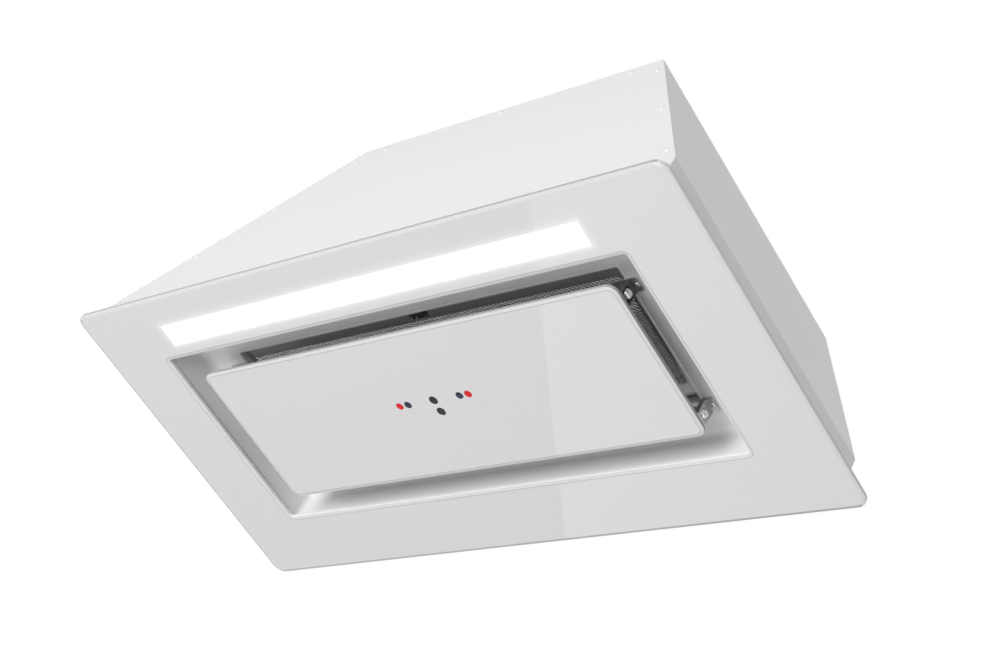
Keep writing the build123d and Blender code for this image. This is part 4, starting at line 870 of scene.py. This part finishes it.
# One tree seats a fastener on every point, turned at random about its own axis
seatFasteners, seatInputs, start, end = newRule("seatFasteners", [
    ("Seats", "Geometry"), ("Fastener", "Object"), ("Size", "Float"), ("Turn Seed", "Int"),
    ("Finish", "Material"),
], "Fasteners")
direction = firstOut(seatFasteners, "GeometryNodeInputNamedAttribute", {"Name": "facing"},
                     data_type="FLOAT_VECTOR")
aligned = firstOut(seatFasteners, "FunctionNodeAlignRotationToVector", {"Vector": direction},
                   axis="Z")
turn = addNode(seatFasteners, "FunctionNodeRandomValue", {"Seed": start["Turn Seed"]},
               data_type="FLOAT")
turn.inputs[3].default_value = math.tau
spin = firstOut(seatFasteners, "FunctionNodeAxisAngleToRotation",
                {"Axis": (0.0, 0.0, 1.0), "Angle": turn.outputs[1]})
turned = firstOut(seatFasteners, "FunctionNodeRotateRotation", {0: aligned, 1: spin},
                  rotation_space="LOCAL")
fastener = addNode(seatFasteners, "GeometryNodeObjectInfo", {"Object": start["Fastener"]})
seated = firstOut(seatFasteners, "GeometryNodeInstanceOnPoints",
                  {"Points": start["Seats"], "Instance": fastener.outputs["Geometry"],
                   "Rotation": turned, "Scale": start["Size"]})
real = firstOut(seatFasteners, "GeometryNodeRealizeInstances", {0: seated})
finished = firstOut(seatFasteners, "GeometryNodeSetMaterial",
                    {"Geometry": real, "Material": start["Finish"]})
seatFasteners.links.new(finished, end[0])


def islandBoxes(node):
    # The box of each separate solid of a CAD node, in millimetres
    shape = mergedCopy(node)
    unseen = set(shape.verts)
    boxes = []
    while unseen:
        pending = [unseen.pop()]
        found = []
        while pending:
            vertex = pending.pop()
            found.append(vertex.co / mm)
            for edge in vertex.link_edges:
                other = edge.other_vert(vertex)
                if other in unseen:
                    unseen.remove(other)
                    pending.append(other)
        low = Vector([min(spot[axis] for spot in found) for axis in range(3)])
        high = Vector([max(spot[axis] for spot in found) for axis in range(3)])
        boxes.append((low, high))
    shape.free()
    return sorted(boxes, key=lambda corners: tuple(round(value, 2) for value in corners[0]))


def seatedFasteners(name, seats, fastenerMesh, slotName, seed, *replaced):
    # seats are (place in millimetres, direction) pairs
    seatMesh = bpy.data.meshes.new(name + "Seats")
    seatMesh.from_pydata([Vector(spot) * mm for spot, direction in seats], [], [])
    attribute = seatMesh.attributes.new("facing", "FLOAT_VECTOR", "POINT")
    for index, (spot, direction) in enumerate(seats):
        attribute.data[index].vector = direction
    fastener = addObject(name + "Fastener", fastenerMesh)
    mesh = modifierMesh(seatFasteners, name, addObject(name + "Seats", seatMesh), {
        seatInputs["Fastener"]: fastener,
        seatInputs["Size"]: 1.0,
        seatInputs["Turn Seed"]: seed,
        seatInputs["Finish"]: finishes[slotName],
    })
    bpy.data.objects.remove(fastener)
    placePiece(name, mesh, "housing", slotName, *replaced)


def turnedMesh(name, profile, turns, sharpAngle):
    shape = bmesh.new()
    lathe(shape, profile, turns, Matrix.Identity(4))
    return closedMesh(shape, name, sharpAngle)


# Blind rivets: domed head with the broken mandrel in it, shank and crushed tail
rivet = {
    "height": 0.9,
    "head": [(0.0, 0.55), (0.75, 0.55), (0.8, 0.42), (0.95, 0.42), (1.1, 0.88), (1.35, 0.9),
             (1.9, 0.78), (2.4, 0.55), (2.8, 0.26), (2.98, 0.08), (3.0, 0.0)],
    "shank": [(1.6, 0.0), (1.6, -2.0)],
    "tail": [(2.1, -2.0), (2.4, -2.4), (2.4, -3.4), (1.5, -4.0), (0.0, -4.0)],
    "turns": 20,
    "seed": 11,
}
rivetMesh = turnedMesh("rivet", rivet["head"] + rivet["shank"] + rivet["tail"], rivet["turns"],
                       40.0)
rivetSeats = []
for low, high in islandBoxes("casing_rivets"):
    middle = (low + high) / 2
    out, headY = (-1.0, low.y) if middle.y < 0 else (1.0, high.y)
    rivetSeats.append(((middle.x, headY - out * rivet["height"], middle.z), (0.0, out, 0.0)))
seatedFasteners("casingRivets", rivetSeats, rivetMesh, "rivet_aluminium", rivet["seed"],
                "casing_rivets")

# Spot-weld marks in the paint, a little way in from each rivet
weldMark = {
    "inward": 11.0,
    "profile": [(0.0, 0.02), (1.0, 0.03), (1.8, 0.10), (2.2, 0.10), (2.6, 0.0), (2.6, -0.3),
                (0.0, -0.3)],
    "turns": 24,
    "outline": [(-393.0, 26.5), (-104.0, 225.5), (292.0, 225.5), (393.0, 26.5)],
    "seed": 5,
}
markMesh = turnedMesh("weldMark", weldMark["profile"], weldMark["turns"], 60.0)
markSeats = []
for spot, direction in rivetSeats:
    depths = []
    for start, end in zip(weldMark["outline"], weldMark["outline"][1:]):
        along = (Vector(end) - Vector(start)).normalized()
        inward = Vector((along.y, -along.x))
        depths.append(((Vector((spot[0], spot[2])) - Vector(start)).dot(inward), inward))
    nearest = min(depths, key=lambda pair: pair[0])
    shift = nearest[1] * weldMark["inward"]
    markSeats.append(((spot[0] + shift.x, spot[1], spot[2] + shift.y), direction))
seatedFasteners("weldMarks", markSeats, markMesh, "white_paint", weldMark["seed"])

# Pan-head screws with a cross recess; the shares are of the head's radius and height
panHead = {
    "radius": 2.8,
    "height": 1.6,
    "turns": 24,
    "dome": [(0.62, 1.0), (0.8, 0.93), (0.93, 0.72), (1.0, 0.4), (1.0, 0.0)],
    "slotHalf": 0.13,
    "slotReach": 0.46,
    "floorSize": 0.8,
    "floorHeight": 0.35,
    "firstSeed": 20,
}
screwFacing = {  # 1 where the head looks up, -1 where it looks down
    "socket_screws": -1.0, "base_screws": 1.0, "scroll_screws": -1.0, "collar_screws": 1.0,
}


def panHeadMesh(name):
    shape = bmesh.new()
    radius, height = panHead["radius"], panHead["height"]
    near, far = radius * panHead["slotHalf"], radius * panHead["slotReach"]
    cross = []
    for quarter in range(4):
        turn = Matrix.Rotation(math.radians(90 * quarter), 2)
        cross += [turn @ Vector(spot) for spot in ((far, -near), (far, near), (near, near))]
    rims = [ringOf(shape, circle(radius * share, panHead["turns"]), height * rise)
            for share, rise in panHead["dome"]]
    for outer, inner in zip(rims, rims[1:]):
        bridge(shape, outer, inner)
    top = ringOf(shape, cross, height)
    size = panHead["floorSize"]
    floor = ringOf(shape, [(spot.x * size, spot.y * size) for spot in cross],
                   height * panHead["floorHeight"])
    capRings(shape, [rims[0], top])
    bridge(shape, top, floor)
    capRings(shape, [floor])
    capRings(shape, [rims[-1]])
    return closedMesh(shape, name, 30.0)


for number, (node, up) in enumerate(screwFacing.items()):
    seats = []
    for low, high in islandBoxes(node):
        middle = (low + high) / 2
        seats.append(((middle.x, middle.y, low.z if up > 0 else high.z), (0.0, 0.0, up)))
    name = camelName(node)
    seatedFasteners(name, seats, panHeadMesh(name + "Shape"), "screw_steel",
                    panHead["firstSeed"] + number, node)
print("hood: rivets, weld marks and screws seated")

# Expanded filter mesh in two layers: zigzag strands that meet in diamonds
filterMesh = {
    "length": 503.0,
    "widths": (134.4, 130.0),
    "levels": (51.2, 59.8),
    "cellLength": 5.4,
    "cellWidth": 4.2,
    "wire": 0.5,
    "wireSides": 4,
    "tremble": 0.16,
    "tremblesPerMetre": 260.0,
    "firstSeed": 3,
}
expandedMesh, meshInputs, start, end = newRule("expandedMesh", [
    ("Start", "Geometry"), ("Columns", "Int"), ("Rows", "Int"), ("Cell Length", "Float"),
    ("Cell Width", "Float"), ("Wire", "Float"), ("Tremble", "Float"), ("Corner", "Vector"),
    ("Seed", "Int"), ("Finish", "Material"),
], "Mesh")
halfCell = maths(expandedMesh, "MULTIPLY", start["Cell Length"], 0.5)
quarterWidth = maths(expandedMesh, "MULTIPLY", start["Cell Width"], 0.25)
halfWidth = maths(expandedMesh, "MULTIPLY", start["Cell Width"], 0.5)
# One strand: a line whose every other point is lifted
strandStep = firstOut(expandedMesh, "ShaderNodeCombineXYZ", {0: halfCell})
strandLine = firstOut(expandedMesh, "GeometryNodeMeshLine",
                      {"Count": start["Columns"], "Offset": strandStep}, mode="OFFSET")
index = firstOut(expandedMesh, "GeometryNodeInputIndex")
odd = maths(expandedMesh, "MODULO", index, 2.0)
side = maths(expandedMesh, "MULTIPLY_ADD", odd, 2.0, -1.0)
lift = firstOut(expandedMesh, "ShaderNodeCombineXYZ",
                {1: maths(expandedMesh, "MULTIPLY", side, quarterWidth)})
zigzag = firstOut(expandedMesh, "GeometryNodeSetPosition",
                  {"Geometry": strandLine, "Offset": lift})
curve = firstOut(expandedMesh, "GeometryNodeMeshToCurve", {0: zigzag})
section = firstOut(expandedMesh, "GeometryNodeCurvePrimitiveCircle",
                   {"Resolution": filterMesh["wireSides"], "Radius": start["Wire"]},
                   mode="RADIUS")
strand = firstOut(expandedMesh, "GeometryNodeCurveToMesh", {0: curve, 1: section})
# A row of strands, every other one shifted by half a cell
rowStep = firstOut(expandedMesh, "ShaderNodeCombineXYZ", {1: halfWidth})
rowLine = firstOut(expandedMesh, "GeometryNodeMeshLine",
                   {"Count": start["Rows"], "Start Location": start["Corner"],
                    "Offset": rowStep}, mode="OFFSET")
shift = firstOut(expandedMesh, "ShaderNodeCombineXYZ",
                 {0: maths(expandedMesh, "MULTIPLY", odd, halfCell)})
rows = firstOut(expandedMesh, "GeometryNodeSetPosition", {"Geometry": rowLine, "Offset": shift})
seated = firstOut(expandedMesh, "GeometryNodeInstanceOnPoints",
                  {"Points": rows, "Instance": strand})
real = firstOut(expandedMesh, "GeometryNodeRealizeInstances", {0: seated})
# A little unevenness in height
place = firstOut(expandedMesh, "GeometryNodeInputPosition")
noise = firstOut(expandedMesh, "ShaderNodeTexNoise",
                 {"Vector": place, "Scale": filterMesh["tremblesPerMetre"], "W": start["Seed"]},
                 noise_dimensions="4D")
centred = maths(expandedMesh, "SUBTRACT", noise, 0.5)
rise = firstOut(expandedMesh, "ShaderNodeCombineXYZ",
                {2: maths(expandedMesh, "MULTIPLY", centred, start["Tremble"])})
shaken = firstOut(expandedMesh, "GeometryNodeSetPosition", {"Geometry": real, "Offset": rise})
finished = firstOut(expandedMesh, "GeometryNodeSetMaterial",
                    {"Geometry": shaken, "Material": start["Finish"]})
expandedMesh.links.new(finished, end[0])

for number, name in enumerate(("filterMeshLower", "filterMeshUpper")):
    length = filterMesh["length"]
    width = filterMesh["widths"][number]
    corner = (-length / 2, -width / 2, filterMesh["levels"][number])
    source = addObject(name + "Rule", bpy.data.meshes.new(name + "Rule"))
    mesh = modifierMesh(expandedMesh, name, source, {
        meshInputs["Columns"]: int(length / filterMesh["cellLength"]) * 2,
        meshInputs["Rows"]: int(width / filterMesh["cellWidth"]) * 2,
        meshInputs["Cell Length"]: filterMesh["cellLength"] * mm,
        meshInputs["Cell Width"]: filterMesh["cellWidth"] * mm,
        meshInputs["Wire"]: filterMesh["wire"] * mm,
        meshInputs["Tremble"]: filterMesh["tremble"] * mm,
        meshInputs["Corner"]: tuple(value * mm for value in corner),
        meshInputs["Seed"]: filterMesh["firstSeed"] + number,
        meshInputs["Finish"]: finishes["filter_mesh"],
    })
    mesh.shade_smooth()
    mesh.set_sharp_from_angle(angle=math.radians(30.0))
    placePiece(name, mesh, "housing", "filter_mesh", "filter_mesh")
    print("hood:", name, "has", len(mesh.polygons), "faces")

# Floor far below the hood, the world and the soft lights
studio = {
    "floorZ": -3.0,
    "floorHalf": 40.0,
    "floorColour": (0.82, 0.82, 0.82, 1.0),
    "floorRough": 0.8,
    "floorGlow": 0.72,
    "ambient": 0.27,
    "box": {"place": (-0.587, 1.388, -1.5), "turn": 28.2, "size": (1.6, 2.5), "watts": 9.0},
    "keys": {
        "front": {"place": (0.1, -2.9, 0.3), "aim": (0.0, 0.0, 0.1), "size": 2.2, "watts": 2.0},
        "low": {"place": (0.1, -2.5, -1.5), "aim": (0.0, 0.1, 0.0), "size": 1.6, "watts": 72.0},
        "below": {"place": (-0.5, -0.7, -2.6), "aim": (0.1, 0.0, 0.0), "size": 1.3,
                  "watts": 12.0},
        "above": {"place": (-2.4, 1.9, 2.2), "aim": (0.0, 0.0, 0.1), "size": 2.0,
                  "watts": 40.0},
        "right": {"place": (2.9, 0.3, 0.5), "aim": (0.3, 0.0, 0.1), "size": 2.0, "watts": 19.0},
    },
}


def seenDirectly(tree):
    # 1 for what the camera or a reflection sees, 0 for the light that it throws
    rays = addNode(tree, "ShaderNodeLightPath").outputs
    seen = maths(tree, "MAXIMUM", rays["Is Camera Ray"], rays["Is Glossy Ray"])
    return maths(tree, "MAXIMUM", seen, rays["Is Transmission Ray"])


half, floorZ = studio["floorHalf"], studio["floorZ"]
floorMesh = bpy.data.meshes.new("studioFloor")
floorMesh.from_pydata([(-half, -half, floorZ), (half, -half, floorZ), (half, half, floorZ),
                       (-half, half, floorZ)], [], [(0, 1, 2, 3)])
floor = addObject("studioFloor", floorMesh)
floorPaint, tree, shader, coords = newFinish("floorPaint", Base_Color=studio["floorColour"],
                                             Roughness=studio["floorRough"])
glow = firstOut(tree, "ShaderNodeEmission",
                {"Color": (1.0, 1.0, 1.0, 1.0), "Strength": studio["floorGlow"]})
blank = firstOut(tree, "ShaderNodeEmission", {"Strength": 0.0})
chosen = firstOut(tree, "ShaderNodeMixShader", {0: seenDirectly(tree), 1: blank, 2: glow})
joined = firstOut(tree, "ShaderNodeAddShader", {0: chosen, 1: shader.outputs[0]})
tree.links.new(joined, tree.nodes["Material Output"].inputs["Surface"])
floorMesh.materials.append(floorPaint)

world = bpy.data.worlds.new("studioWorld")
world.use_nodes = True
bpy.context.scene.world = world
tree = world.node_tree
ambient = studio["ambient"]
strength = maths(tree, "MULTIPLY_ADD", seenDirectly(tree), 1.0 - ambient, ambient)
sky = tree.nodes["Background"]
sky.inputs["Color"].default_value = (1.0, 1.0, 1.0, 1.0)
tree.links.new(strength, sky.inputs["Strength"])


def softLight(name, place, turn, size, watts):
    light = bpy.data.lights.new(name, "AREA")
    light.shape = "RECTANGLE"
    light.size, light.size_y = size
    light.energy = watts
    lamp = addObject(name, light)
    lamp.location = place
    lamp.rotation_euler = turn
    lamp.visible_camera = False


box = studio["box"]
softLight("belowBox", box["place"], (math.pi, 0.0, math.radians(box["turn"])), box["size"],
          box["watts"])
for name, key in studio["keys"].items():
    turn = (Vector(key["aim"]) - Vector(key["place"])).to_track_quat("-Z", "Y").to_euler()
    softLight(name + "Key", key["place"], turn, (key["size"], key["size"]), key["watts"])
print("hood: studio set")
